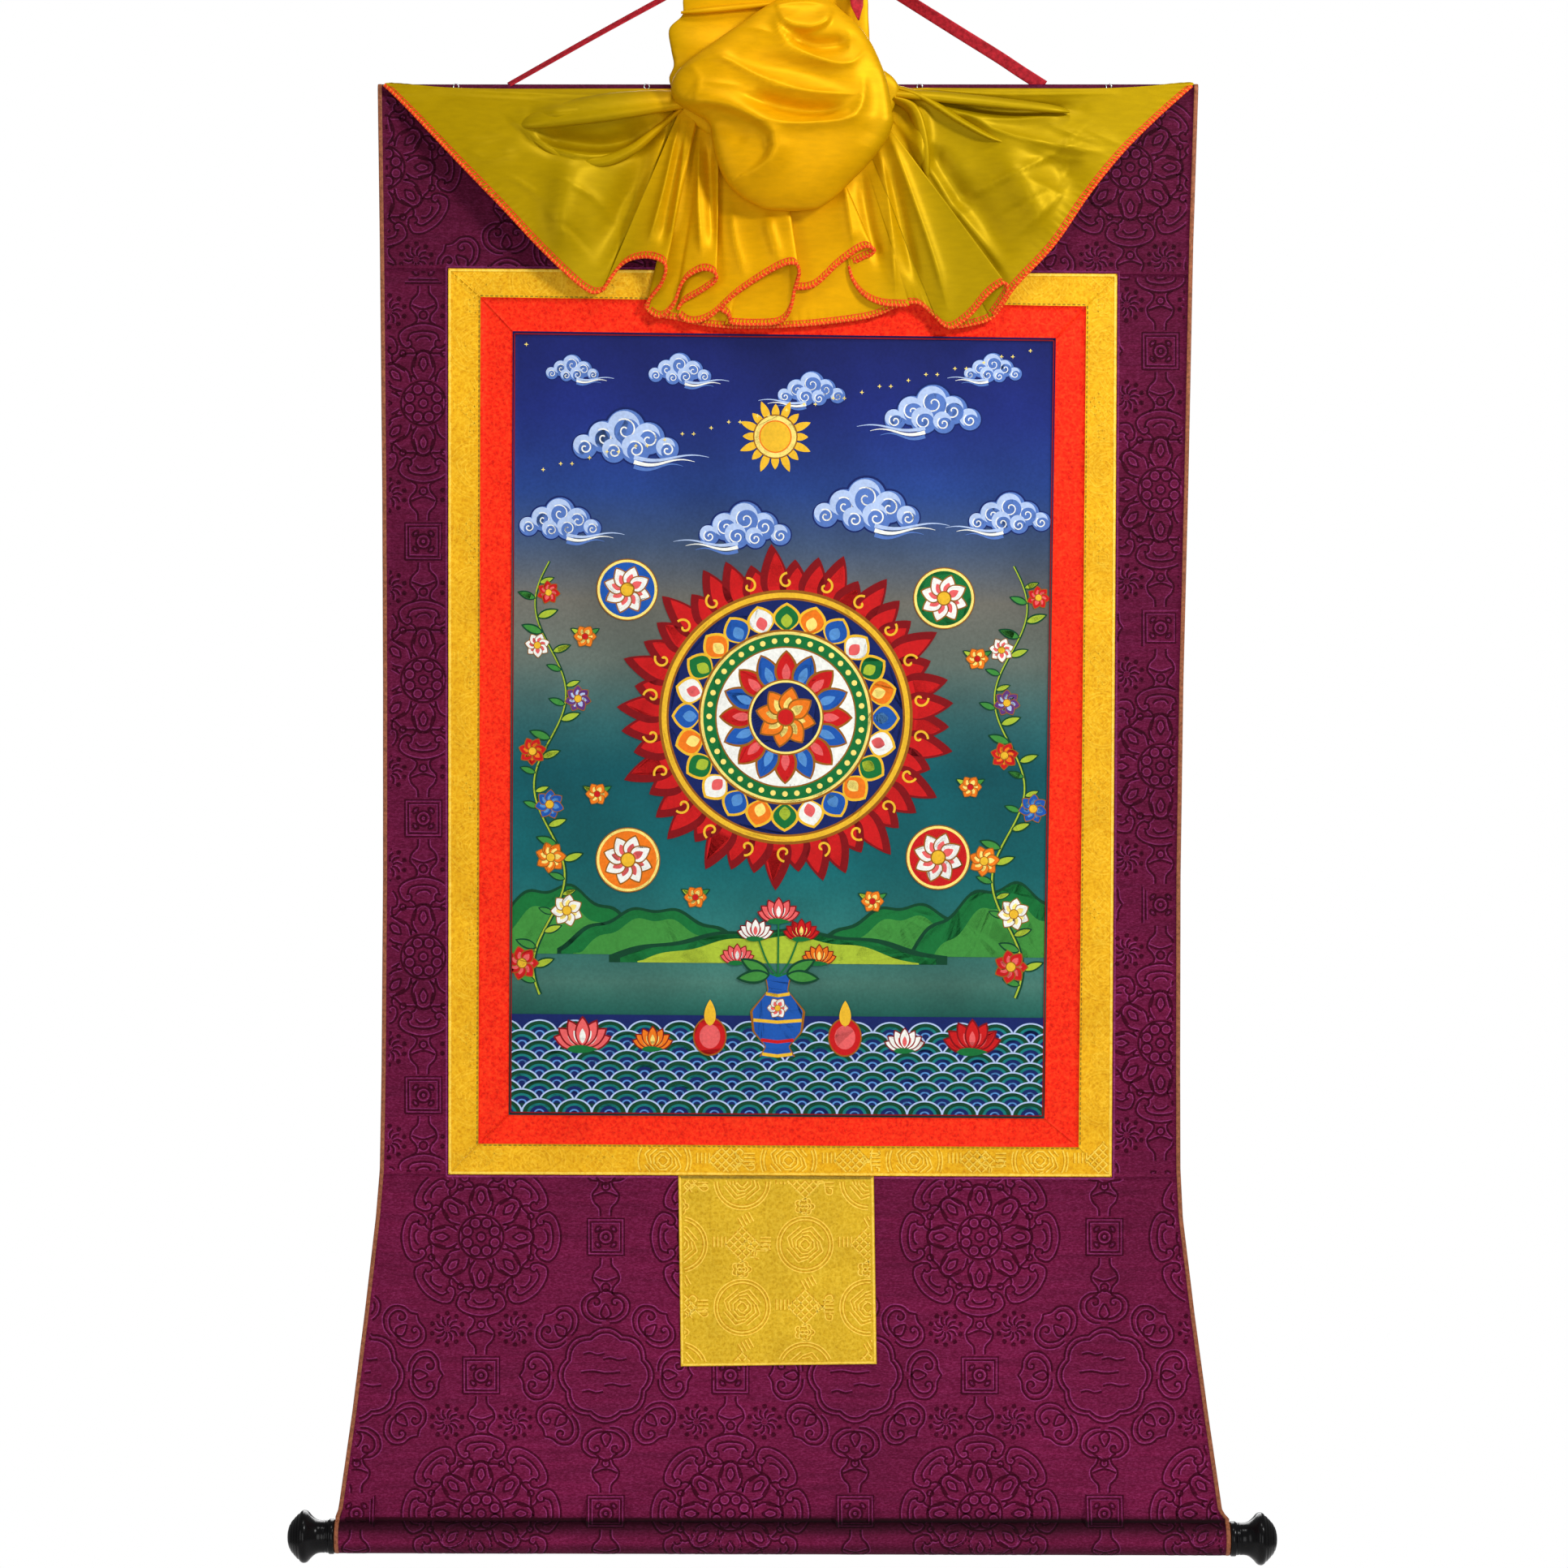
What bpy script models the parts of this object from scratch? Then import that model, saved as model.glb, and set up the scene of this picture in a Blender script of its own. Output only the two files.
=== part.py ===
# Hanging scroll painting: a picture in red and yellow strips, mounted on four brocade
# panels, hung from a flat batten by a ribbon and weighted by a rod with turned knobs.
# A thin silk veil is sewn along the batten, swept up to both sides and bunched in front.
# Sizes are in millimetres and are turned into metres when a mesh is made. The face looks
# towards -Y, +Z is up, and the origin is where the ribbon hangs, at its highest point.

import math

import bmesh
import bpy
from mathutils import Vector

MM = 0.001

# Cloth
PANEL_THICK = 1.5       # brocade with its stiff backing
STRIP_THICK = 1.5       # red and yellow strips, as thick as the panels beside them
PATCH_THICK = 1.2
VEIL_THICK = 1.2
GAP = 0.3               # between any two pieces
PIPING_WIDTH = 3.2      # binding along both sides

# Heights
TOP_EDGE_Z = -117.8     # top of the batten's sleeve
ROD_Z = -1228.6         # the rod's axis, at its middle
ROD_HALF_LENGTH = 340.0
ROD_DROP = 0.9          # how much lower the right end lies than the middle
ROLL_EDGE_Z = -1240.0   # where the width of the roll is read
FRONT_START_Z = -123.8  # below the sleeve's bend, where the flat front starts

# Batten and rod
BATTEN_DEPTH = 6.0
BATTEN_HEIGHT = 24.0
BATTEN_INSET = 1.0      # from the mount's edge to each end of the batten
ROD_RADIUS = 10.8
FILLET = 4.0            # crease where the cloth meets the rod
CREASE_MARGIN = 2.0     # flat cloth kept above the crease
GLUED_FLAP = 16.0       # end of each sleeve, glued to the back of the cloth

# Outer edges of the mount, binding included: height, left edge, right edge
SIDE_EDGES = [
    (-117.8, -316.0, 311.0),
    (-240.0, -314.3, 307.0),
    (-426.0, -312.5, 303.2),
    (-575.0, -311.9, 299.5),
    (-723.0, -311.9, 297.3),
    (-872.0, -313.0, 297.0),
    (-947.0, -314.3, 297.2),
    (-984.0, -317.4, 299.0),
    (-1058.0, -326.0, 308.0),
    (-1133.0, -335.4, 318.2),
    (-1207.0, -346.0, 329.0),
    (-1216.0, -348.2, 334.4),
    (-1260.0, -348.2, 334.4),
]

SEAM_REACH = 300.0      # how far a cross seam goes to each side

# Corners of the nested frames: top left, top right, bottom right, bottom left
YELLOW_OUTER = [(-262.0, -259.2), (248.8, -263.4), (244.6, -952.9), (-261.8, -950.9)]
RED_OUTER = [(-237.3, -281.0), (225.2, -288.0), (219.4, -930.3), (-239.0, -927.6)]
PICTURE_OUTER = [(-212.8, -307.0), (202.0, -312.3), (193.3, -908.4), (-215.8, -905.6)]
DOOR_PATCH = [(-86.2, -954.5), (62.9, -955.0), (65.1, -1095.6), (-84.3, -1097.4)]

# Turned knob: distance from the roll's end, radius
KNOB_PROFILE = [
    (0.3, 12.4), (1.2, 13.3), (4.6, 13.3), (5.6, 12.5), (9.0, 12.2), (13.0, 12.5),
    (16.0, 13.8), (18.6, 16.2), (20.6, 18.6), (21.8, 19.6), (23.4, 20.0), (25.2, 19.7),
    (26.8, 18.4), (28.2, 17.0), (30.6, 14.6), (33.2, 10.9), (35.4, 6.4), (36.5, 2.6),
]
KNOB_SIDES = 28

# Ribbon: it leaves the batten's top edge on the left, passes the hanging point and ends
# on the right. Points are (x, y, z).
RIBBON_WIDTH = 9.4
RIBBON_ROUTE = [
    (-207.6, 4.0, -113.2), (-202.0, 3.8, -110.1), (-182.0, 3.6, -98.8), (-142.0, 3.0, -76.4),
    (-102.0, 2.4, -54.6), (-62.0, 1.8, -32.8), (-28.0, 1.4, -14.6), (-14.0, 1.2, -8.0),
    (-5.5, 1.2, -5.3), (2.0, 1.2, -4.7), (9.5, 1.2, -5.5), (18.0, 1.3, -9.4),
    (34.0, 1.6, -19.4),
]
RIBBON_RIGHT_ROUTE = [
    (54.0, 2.0, -32.0), (91.0, 2.6, -55.0), (128.0, 3.2, -78.0), (158.0, 3.6, -96.6),
    (174.0, 3.8, -107.2), (183.6, 4.0, -113.3),
]
RIBBON_STEP = 10.3      # between the points of its tubes
KNOT_END_RADIUS = 5.2
KNOT_SWELL = 2.6        # how much thicker the knot is at its middle
TAIL_ROUTE = [
    (44.3, -6.6, -29.3), (43.5, -11.6, -30.8), (46.0, -17.0, -34.5), (49.2, -21.4, -40.5),
    (50.0, -22.6, -49.0), (50.8, -22.6, -60.0), (52.0, -22.6, -69.0),
]
EYELETS_X = [-256.0, -110.4, 98.0, 242.4]
EYELET_RADIUS = 2.0
EYELET_WIRE = 0.45
EYELET_DROP = 2.6       # from the top edge to the middle of a ring

# Hem of the veil's back layer, from the batten's left end to its right end:
# x, height, depth, share of the way along the neck
VEIL_HEM = [
    (-309.0, -123.6, -1.7, 0.00),
    (-291.0, -139.0, -4.0, 0.05),
    (-255.0, -177.5, -6.5, 0.10),
    (-221.0, -213.0, -7.0, 0.15),
    (-187.0, -249.0, -7.0, 0.20),
    (-158.0, -275.0, -6.0, 0.24),
    (-141.0, -278.0, -5.6, 0.27),
    (-126.0, -285.0, -5.2, 0.30),
    (-110.0, -295.0, -5.2, 0.34),
    (-88.0, -298.0, -5.4, 0.40),
    (-62.0, -303.0, -5.4, 0.46),
    (-35.0, -304.5, -5.0, 0.50),
    (0.0, -303.5, -4.8, 0.55),
    (29.0, -301.0, -5.2, 0.60),
    (62.0, -296.0, -6.0, 0.65),
    (82.0, -288.0, -7.4, 0.68),
    (97.0, -286.5, -9.0, 0.70),
    (108.0, -295.0, -8.6, 0.72),
    (121.0, -304.0, -7.6, 0.74),
    (136.0, -303.0, -6.6, 0.765),
    (152.0, -298.0, -6.0, 0.80),
    (160.0, -289.0, -6.0, 0.81),
    (171.0, -273.0, -6.4, 0.83),
    (200.0, -242.0, -7.0, 0.87),
    (226.0, -204.0, -7.0, 0.91),
    (252.0, -171.5, -6.0, 0.95),
    (277.0, -146.0, -4.2, 0.975),
    (305.0, -123.6, -1.7, 1.00),
]

# Line where the veil is gathered, hidden behind the bunch: share, x, height, depth
VEIL_NECK = [
    (0.00, -88.0, -123.6, -4.6),
    (0.10, -84.0, -129.0, -6.4),
    (0.25, -80.0, -138.0, -8.4),
    (0.40, -62.0, -150.0, -11.0),
    (0.53, -14.0, -158.0, -12.0),
    (0.68, 42.0, -154.0, -11.0),
    (0.80, 70.0, -140.0, -9.4),
    (0.92, 74.0, -129.0, -6.6),
    (1.00, 78.0, -123.6, -4.6),
]

# Pleats that overlap in front of the back layer. Each has its hem, which rises to a fold
# at its right and turns back behind, and its own short stretch of the neck.
PLEATS = {
    "first_pleat": (
        [(-144.0, -277.0, -6.0, 0.0), (-129.0, -257.0, -10.0, 0.3), (-112.0, -252.0, -14.5, 0.6),
         (-98.0, -256.0, -18.0, 0.85), (-95.5, -263.0, -17.0, 0.94), (-100.0, -274.0, -13.0, 1.0),
         (-109.0, -285.0, -8.6, 1.08), (-112.0, -293.0, -6.4, 1.15)],
        [(0.0, -82.0, -134.0, -9.0), (0.85, -72.0, -146.0, -14.6), (1.0, -71.0, -147.0, -10.6),
         (1.15, -76.0, -145.0, -10.0)]),
    "second_pleat": (
        [(-109.0, -292.0, -6.6, 0.0), (-100.0, -297.0, -8.0, 0.1), (-90.0, -288.0, -10.0, 0.25),
         (-82.0, -270.0, -13.5, 0.45), (-68.0, -262.0, -17.0, 0.7), (-58.0, -265.0, -19.0, 0.85),
         (-58.0, -271.0, -17.4, 0.94), (-70.0, -279.0, -13.2, 1.0), (-83.0, -286.0, -9.2, 1.08),
         (-88.0, -294.0, -7.0, 1.15)],
        [(0.0, -70.0, -147.0, -10.5), (0.85, -55.0, -153.0, -15.2), (1.0, -53.5, -154.0, -11.2),
         (1.15, -58.0, -152.0, -10.6)]),
    "third_pleat": (
        [(-86.0, -295.0, -7.2, 0.0), (-77.0, -301.0, -8.4, 0.08), (-62.0, -297.0, -10.4, 0.2),
         (-42.0, -280.0, -14.0, 0.4), (-15.0, -263.0, -18.4, 0.65), (1.0, -257.5, -21.6, 0.85),
         (6.0, -264.0, -20.4, 0.94), (2.0, -279.0, -16.6, 1.0), (-1.0, -292.0, -13.8, 1.04),
         (-9.0, -301.5, -11.4, 1.08), (-28.0, -303.0, -9.6, 1.12), (-50.0, -302.0, -8.6, 1.15)],
        [(0.0, -55.0, -152.0, -11.0), (0.85, -10.0, -160.0, -17.0), (1.0, -8.0, -161.0, -12.6),
         (1.15, -16.0, -159.0, -12.0)]),
    "middle_pleat": (
        [(-27.0, -272.0, -7.6, 0.0), (-12.0, -273.5, -8.4, 0.15), (4.0, -275.5, -9.2, 0.32),
         (18.0, -273.0, -10.2, 0.48), (36.0, -257.0, -12.4, 0.65), (54.0, -245.0, -14.8, 0.8),
         (62.0, -245.5, -15.4, 0.88), (62.5, -249.0, -13.4, 1.0), (55.0, -252.5, -11.4, 1.06),
         (46.0, -257.0, -10.2, 1.15)],
        [(0.0, -12.0, -160.0, -12.5), (0.85, 24.0, -159.0, -15.6), (1.0, 25.5, -159.0, -12.0),
         (1.15, 20.0, -159.5, -11.4)]),
    "small_pleat": (
        [(44.0, -258.0, -8.8, 0.0), (47.0, -269.0, -9.4, 0.2), (56.0, -281.0, -10.2, 0.5),
         (70.0, -287.5, -10.8, 0.8), (90.0, -288.5, -10.0, 1.0)],
        [(0.0, 18.0, -159.0, -10.0), (1.0, 48.0, -154.0, -11.0)]),
    "right_pleat": (
        [(110.0, -297.0, -9.0, 0.0), (121.0, -305.5, -10.6, 0.15), (136.0, -296.0, -12.4, 0.4),
         (150.0, -280.0, -14.8, 0.65), (162.0, -272.0, -17.0, 0.85), (164.0, -279.0, -14.8, 0.94),
         (158.0, -289.0, -10.6, 1.05), (152.0, -297.0, -7.6, 1.15)],
        [(0.0, 52.0, -152.0, -11.0), (0.85, 66.0, -142.0, -14.6), (1.0, 67.5, -141.0, -10.8),
         (1.15, 64.0, -142.5, -10.4)]),
}

# Soft folds across the veil: ridges stand forward and troughs lie back.
# Each row: height of the fold, half width, and the line that it follows as (x, z)
VEIL_FOLDS = [
    (-4.5, 8.0, [(-92.0, -124.0), (-150.0, -129.0), (-215.0, -134.0), (-262.0, -142.0)]),
    (-6.5, 11.0, [(-92.0, -134.0), (-135.0, -142.0), (-185.0, -152.0), (-222.0, -168.0)]),
    (3.0, 12.0, [(-95.0, -148.0), (-134.0, -176.0), (-172.0, -184.0), (-206.0, -168.0)]),
    (-7.5, 11.0, [(-104.0, -160.0), (-140.0, -200.0), (-172.0, -212.0), (-196.0, -214.0)]),
    (-6.0, 8.0, [(-94.0, -152.0), (-128.0, -196.0), (-158.0, -240.0)]),
    (-5.0, 6.5, [(-86.0, -152.0), (-106.0, -200.0), (-126.0, -250.0)]),
    (-4.5, 5.0, [(-78.0, -158.0), (-88.0, -205.0), (-92.0, -245.0)]),
    (-4.0, 5.0, [(-68.0, -165.0), (-70.0, -205.0), (-70.0, -250.0)]),
    (-4.5, 6.0, [(-58.0, -190.0), (-50.0, -230.0), (-44.0, -270.0)]),
    (-4.0, 6.0, [(-20.0, -216.0), (-14.0, -238.0), (-10.0, -262.0)]),
    (-4.5, 7.0, [(76.0, -165.0), (92.0, -220.0), (104.0, -280.0)]),
    (-5.0, 7.0, [(80.0, -150.0), (112.0, -215.0), (138.0, -280.0)]),
    (3.0, 7.0, [(82.0, -142.0), (124.0, -190.0), (164.0, -262.0)]),
    (-7.0, 9.0, [(86.0, -136.0), (130.0, -172.0), (178.0, -240.0)]),
    (-5.5, 9.0, [(90.0, -131.0), (140.0, -154.0), (200.0, -194.0)]),
    (2.5, 6.0, [(123.0, -196.0), (165.0, -180.0), (208.0, -158.0)]),
    (-5.0, 8.0, [(92.0, -125.0), (150.0, -136.0), (215.0, -150.0), (250.0, -156.0)]),
]

# The neck of the bunch: height, left, right, front, back
BUNCH_NECK = [
    (7.0, -7.0, 11.0, -12.0, 4.0),
    (4.5, -15.0, 18.0, -17.0, 8.5),
    (-2.0, -21.0, 24.0, -20.0, 11.0),
    (-10.0, -25.0, 27.0, -20.0, 10.5),
    (-17.0, -29.0, 28.5, -19.0, -5.0),
    (-26.0, -38.0, 31.5, -15.0, -5.2),
    (-36.0, -54.0, 42.0, -13.0, -5.2),
    (-46.0, -73.0, 53.0, -13.0, -5.0),
    (-54.0, -82.0, 58.0, -13.4, -5.0),
    (-67.0, -83.0, 58.6, -14.4, -4.6),
    (-78.0, -93.0, 59.2, -16.0, -4.2),
    (-94.0, -91.5, 60.5, -22.0, -3.8),
    (-106.0, -89.5, 66.0, -22.0, -3.6),
    (-116.0, -93.0, 78.0, -22.0, -3.6),
    (-126.0, -90.0, 82.0, -21.0, -3.6),
    (-142.0, -84.0, 76.0, -20.0, -4.0),
    (-164.0, -56.0, 60.0, -18.0, -5.5),
]

# The bunch itself, a slack pouch hanging over the neck: height, left, right, front, back
BUNCH_POUCH = [
    (-56.5, -7.0, 26.0, -27.0, -21.0),
    (-60.0, -14.0, 31.0, -32.0, -17.0),
    (-68.0, -26.0, 39.5, -37.0, -14.0),
    (-78.0, -40.0, 50.5, -41.0, -12.0),
    (-92.0, -60.0, 60.5, -44.0, -11.0),
    (-107.0, -80.0, 67.5, -46.0, -10.0),
    (-118.0, -89.0, 71.5, -47.0, -10.0),
    (-129.0, -91.0, 74.0, -48.0, -10.0),
    (-138.0, -86.0, 75.5, -48.0, -10.0),
    (-145.0, -74.0, 76.5, -48.0, -10.0),
    (-153.0, -62.5, 77.0, -48.0, -10.0),
    (-167.0, -60.0, 71.0, -46.0, -10.0),
    (-184.0, -55.5, 57.5, -43.0, -11.0),
    (-198.0, -48.5, 43.5, -39.0, -13.0),
    (-208.0, -38.0, 33.5, -35.0, -16.0),
    (-215.0, -20.0, 23.0, -30.0, -20.0),
]
BUNCH_FOLDS = [
    (-4.0, 4.0, [(-11.0, -73.0), (-5.0, -88.0), (12.0, -102.0), (32.0, -107.0), (54.0, -106.0)]),
    (5.0, 6.0, [(2.0, -82.0), (20.0, -92.0), (46.0, -92.0)]),
    (-4.5, 5.0, [(-56.0, -117.0), (-5.0, -127.0), (28.0, -134.0), (46.0, -145.0)]),
    (5.0, 6.0, [(-32.0, -137.0), (5.0, -142.0), (32.0, -147.0)]),
    (-4.0, 4.0, [(-16.0, -155.0), (12.0, -154.0), (42.0, -150.0), (54.0, -134.0)]),
    (-5.0, 6.0, [(-84.0, -139.0), (-56.0, -138.0), (-34.0, -146.0), (-18.0, -160.0)]),
    (5.0, 6.0, [(-58.0, -147.0), (-42.0, -154.0), (-30.0, -166.0)]),
]
BUNCH_SIDES = 26
NECK_SIDES = 22
SECTION_ROUNDNESS = 0.8     # 1 is an oval, lower is squarer
CHANNEL_CLEARANCE = 0.6     # round the ribbon, where it goes through the bunch

SKIRT_COLUMNS = 76
SKIRT_ROWS = 8
PLEAT_COLUMNS = 20
PLEAT_ROWS = 5
ROW_CROWDING = 0.85     # below 1 the rows stand closer together near the hem
FOLD_FADE = 1.15        # the folds fade out a little before the hem

# Colours, with roughness
PURPLE = (0.085, 0.005, 0.030, 0.55)
YELLOW = (0.80, 0.42, 0.02, 0.50)
RED = (0.85, 0.03, 0.01, 0.55)
PAPER = (0.05, 0.12, 0.20, 0.70)
COPPER = (0.30, 0.11, 0.05, 0.50)
SILK = (0.66, 0.42, 0.01, 0.40)
CRIMSON = (0.40, 0.005, 0.01, 0.55)
LACQUER = (0.010, 0.010, 0.012, 0.18)
WOOD = (0.35, 0.22, 0.12, 0.60)
STEEL = (0.60, 0.60, 0.62, 0.30)


def clear_scene():
    for item in list(bpy.data.objects):
        bpy.data.objects.remove(item, do_unlink=True)


def finish(name, colour, metallic=0.0):
    material = bpy.data.materials.new(name + "_finish")
    material.use_nodes = True
    shader = material.node_tree.nodes["Principled BSDF"]
    shader.inputs["Base Color"].default_value = (colour[0], colour[1], colour[2], 1.0)
    shader.inputs["Roughness"].default_value = colour[3]
    shader.inputs["Metallic"].default_value = metallic
    return material


def add_object(name, vertices, faces, colour, metallic=0.0):
    mesh = bpy.data.meshes.new(name)
    mesh.from_pydata([Vector(v) * MM for v in vertices], [], faces)
    shape = bmesh.new()
    shape.from_mesh(mesh)
    bmesh.ops.recalc_face_normals(shape, faces=shape.faces)
    shape.to_mesh(mesh)
    shape.free()
    mesh.shade_smooth()
    mesh.set_sharp_from_angle(angle=math.radians(40))
    item = bpy.data.objects.new(name, mesh)
    item.data.materials.append(finish(name, colour, metallic))
    bpy.context.scene.collection.objects.link(item)
    return item


def between(table, position):
    """Values of a table at a position in its first column, in straight steps."""
    rising = table[-1][0] > table[0][0]
    for low, high in zip(table, table[1:]):
        inside = position <= high[0] if rising else position >= high[0]
        if inside:
            share = (position - low[0]) / (high[0] - low[0])
            share = min(1.0, max(0.0, share))
            return [a + (b - a) * share for a, b in zip(low[1:], high[1:])]
    return list(table[-1][1:])


def smooth_through(points, count):
    """Evenly spaced points on a soft curve through the given ones."""
    fine = []
    last = len(points) - 1
    for i in range(last):
        before, start, end, after = (points[max(i - 1, 0)], points[i], points[i + 1],
                                     points[min(i + 2, last)])
        for step in range(12):
            t = step / 12
            fine.append([0.5 * (2 * b + (c - a) * t + (2 * a - 5 * b + 4 * c - d) * t * t
                                + (3 * b - a - 3 * c + d) * t ** 3)
                         for a, b, c, d in zip(before, start, end, after)])
    fine.append(list(points[last]))
    lengths = [0.0]
    for p, q in zip(fine, fine[1:]):
        lengths.append(lengths[-1] + math.dist(p[:3], q[:3]))
    curve = [[length] + list(p) for length, p in zip(lengths, fine)]
    return [between(curve, lengths[-1] * k / (count - 1)) for k in range(count)]


def sheet(grid, thick):
    """Vertices and faces of a closed sheet on a grid of points of its middle surface."""
    rows = len(grid)
    columns = len(grid[0])
    front, back = [], []
    for i in range(rows):
        for j in range(columns):
            along = grid[i][min(j + 1, columns - 1)] - grid[i][max(j - 1, 0)]
            down = grid[min(i + 1, rows - 1)][j] - grid[max(i - 1, 0)][j]
            normal = along.cross(down).normalized()
            front.append(grid[i][j] + normal * (thick / 2))
            back.append(grid[i][j] - normal * (thick / 2))
    offset = rows * columns
    faces = []
    for i in range(rows - 1):
        for j in range(columns - 1):
            a = i * columns + j
            b, c, d = a + 1, a + columns + 1, a + columns
            faces.append((a, b, c, d))
            faces.append((a + offset, d + offset, c + offset, b + offset))
    edge = ([j for j in range(columns)]
            + [i * columns + columns - 1 for i in range(1, rows)]
            + [(rows - 1) * columns + j for j in range(columns - 2, -1, -1)]
            + [i * columns for i in range(rows - 2, 0, -1)])
    for a, b in zip(edge, edge[1:] + edge[:1]):
        faces.append((a, a + offset, b + offset, b))
    return front + back, faces


def slab(name, outline, middle_y, thick, colour):
    """A flat piece cut to an outline of (x, z) corners."""
    count = len(outline)
    front = [(x, middle_y - thick / 2, z) for x, z in outline]
    back = [(x, middle_y + thick / 2, z) for x, z in outline]
    faces = [tuple(range(count)), tuple(range(2 * count - 1, count - 1, -1))]
    for k in range(count):
        after = (k + 1) % count
        faces.append((k, k + count, after + count, after))
    return add_object(name, front + back, faces, colour)


def rod_height(x):
    return ROD_Z - ROD_DROP * x / ROD_HALF_LENGTH


def top_sleeve():
    """Side view of the cloth round the batten, from the glued end at the back: (y, z)."""
    radius = BATTEN_DEPTH / 2 + GAP + PANEL_THICK / 2
    centre_z = TOP_EDGE_Z - PANEL_THICK / 2 - radius
    low_z = centre_z - (BATTEN_HEIGHT - BATTEN_DEPTH)
    flap_y = PANEL_THICK + GAP
    closing = 15.0
    line = [(flap_y, low_z - closing - GLUED_FLAP)]
    for step in range(5, -1, -1):
        t = step / 5
        soft = t * t * (3 - 2 * t)
        line.append((2 * radius + (flap_y - 2 * radius) * soft, low_z - closing * t))
    for step in range(7):
        angle = math.pi * step / 6
        line.append((radius + radius * math.cos(angle), centre_z + radius * math.sin(angle)))
    return line


def bottom_sleeve():
    """Side view of the cloth round the rod, from where it leaves the plane, about the axis."""
    radius = ROD_RADIUS + GAP + PANEL_THICK / 2
    flap_y = PANEL_THICK + GAP
    front_h = math.sqrt(radius ** 2 + 2 * radius * FILLET)
    back_h = math.sqrt((radius + FILLET) ** 2 - (flap_y + FILLET) ** 2)
    front_turn = math.asin(front_h / (radius + FILLET))
    back_turn = math.asin(back_h / (radius + FILLET))
    line = []
    for step in range(5):
        angle = front_turn * step / 4
        line.append((-FILLET + FILLET * math.cos(angle), front_h - FILLET * math.sin(angle)))
    start = math.pi / 2 - front_turn
    end = 2 * math.pi - (math.pi / 2 - back_turn)
    for step in range(1, 20):
        angle = start + (end - start) * step / 20
        line.append((-radius * math.sin(angle), radius * math.cos(angle)))
    for step in range(4, -1, -1):
        angle = back_turn * step / 4
        line.append((flap_y + FILLET - FILLET * math.cos(angle),
                     back_h - FILLET * math.sin(angle)))
    line.append((flap_y, back_h + GLUED_FLAP))
    return line


def side_edge(z, side):
    left, right = between(SIDE_EDGES, z)
    return left if side < 0 else right


def panel_edge(z, side):
    """Edge of the brocade, beside the binding."""
    return side_edge(z, side) - side * (PIPING_WIDTH + GAP)


def edge_heights(low, high):
    """Heights between two seams at which the sides change direction, from the top."""
    return [high] + [row[0] for row in SIDE_EDGES if low + 1 < row[0] < high - 1] + [low]


def across(left, right, y, z, columns):
    return [Vector((left + (right - left) * k / (columns - 1), y, z)) for k in range(columns)]


def seam_height(x, left_corner, right_corner):
    """Height of a cross seam: the line through two corners of the yellow frame."""
    share = (x - left_corner[0]) / (right_corner[0] - left_corner[0])
    return left_corner[1] + (right_corner[1] - left_corner[1]) * share


def top_seam(x):
    return seam_height(x, YELLOW_OUTER[0], YELLOW_OUTER[1])


def bottom_seam(x):
    return seam_height(x, YELLOW_OUTER[3], YELLOW_OUTER[2])


def seam_row(seam, offset):
    left = panel_edge(seam(-SEAM_REACH), -1)
    right = panel_edge(seam(SEAM_REACH), 1)
    row = across(left, right, 0.0, 0.0, 3)
    for point in row:
        point.z = seam(point.x) + offset
    return row


def brocade_top():
    grid = []
    for y, z in top_sleeve():
        grid.append(across(panel_edge(TOP_EDGE_Z, -1), panel_edge(TOP_EDGE_Z, 1), y, z, 3))
    for z in edge_heights(YELLOW_OUTER[0][1], FRONT_START_Z)[1:-1]:
        grid.append(across(panel_edge(z, -1), panel_edge(z, 1), 0.0, z, 3))
    grid.append(seam_row(top_seam, GAP / 2))
    add_object("brocade_top", *sheet(grid, PANEL_THICK), PURPLE)


def brocade_sides():
    corners = {-1: (YELLOW_OUTER[0], YELLOW_OUTER[3]), 1: (YELLOW_OUTER[1], YELLOW_OUTER[2])}
    for side, name in ((-1, "brocade_left"), (1, "brocade_right")):
        top, bottom = corners[side]
        inner_top, inner_bottom = top[0] + side * GAP / 2, bottom[0] + side * GAP / 2
        edge_top, edge_bottom = panel_edge(top[1], side), panel_edge(bottom[1], side)
        outline = [(inner_top, top_seam(inner_top) - GAP / 2),
                   (edge_top, top_seam(edge_top) - GAP / 2)]
        outline += [(panel_edge(z, side), z) for z in edge_heights(bottom[1], top[1])[1:-1]]
        outline += [(edge_bottom, bottom_seam(edge_bottom) + GAP / 2),
                    (inner_bottom, bottom_seam(inner_bottom) + GAP / 2)]
        slab(name, outline, 0.0, PANEL_THICK, PURPLE)


def brocade_bottom():
    grid = [seam_row(bottom_seam, -GAP / 2)]
    sleeve = bottom_sleeve()
    crease_z = ROD_Z + sleeve[0][1] + CREASE_MARGIN
    for z in edge_heights(crease_z, YELLOW_OUTER[2][1] - 1.0)[1:]:
        grid.append(across(panel_edge(z, -1), panel_edge(z, 1), 0.0, z, 3))
    for y, height in sleeve:
        row = across(panel_edge(ROLL_EDGE_Z, -1), panel_edge(ROLL_EDGE_Z, 1), y, 0.0, 3)
        for point in row:
            point.z = rod_height(point.x) + height
        grid.append(row)
    add_object("brocade_bottom", *sheet(grid, PANEL_THICK), PURPLE)


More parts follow.
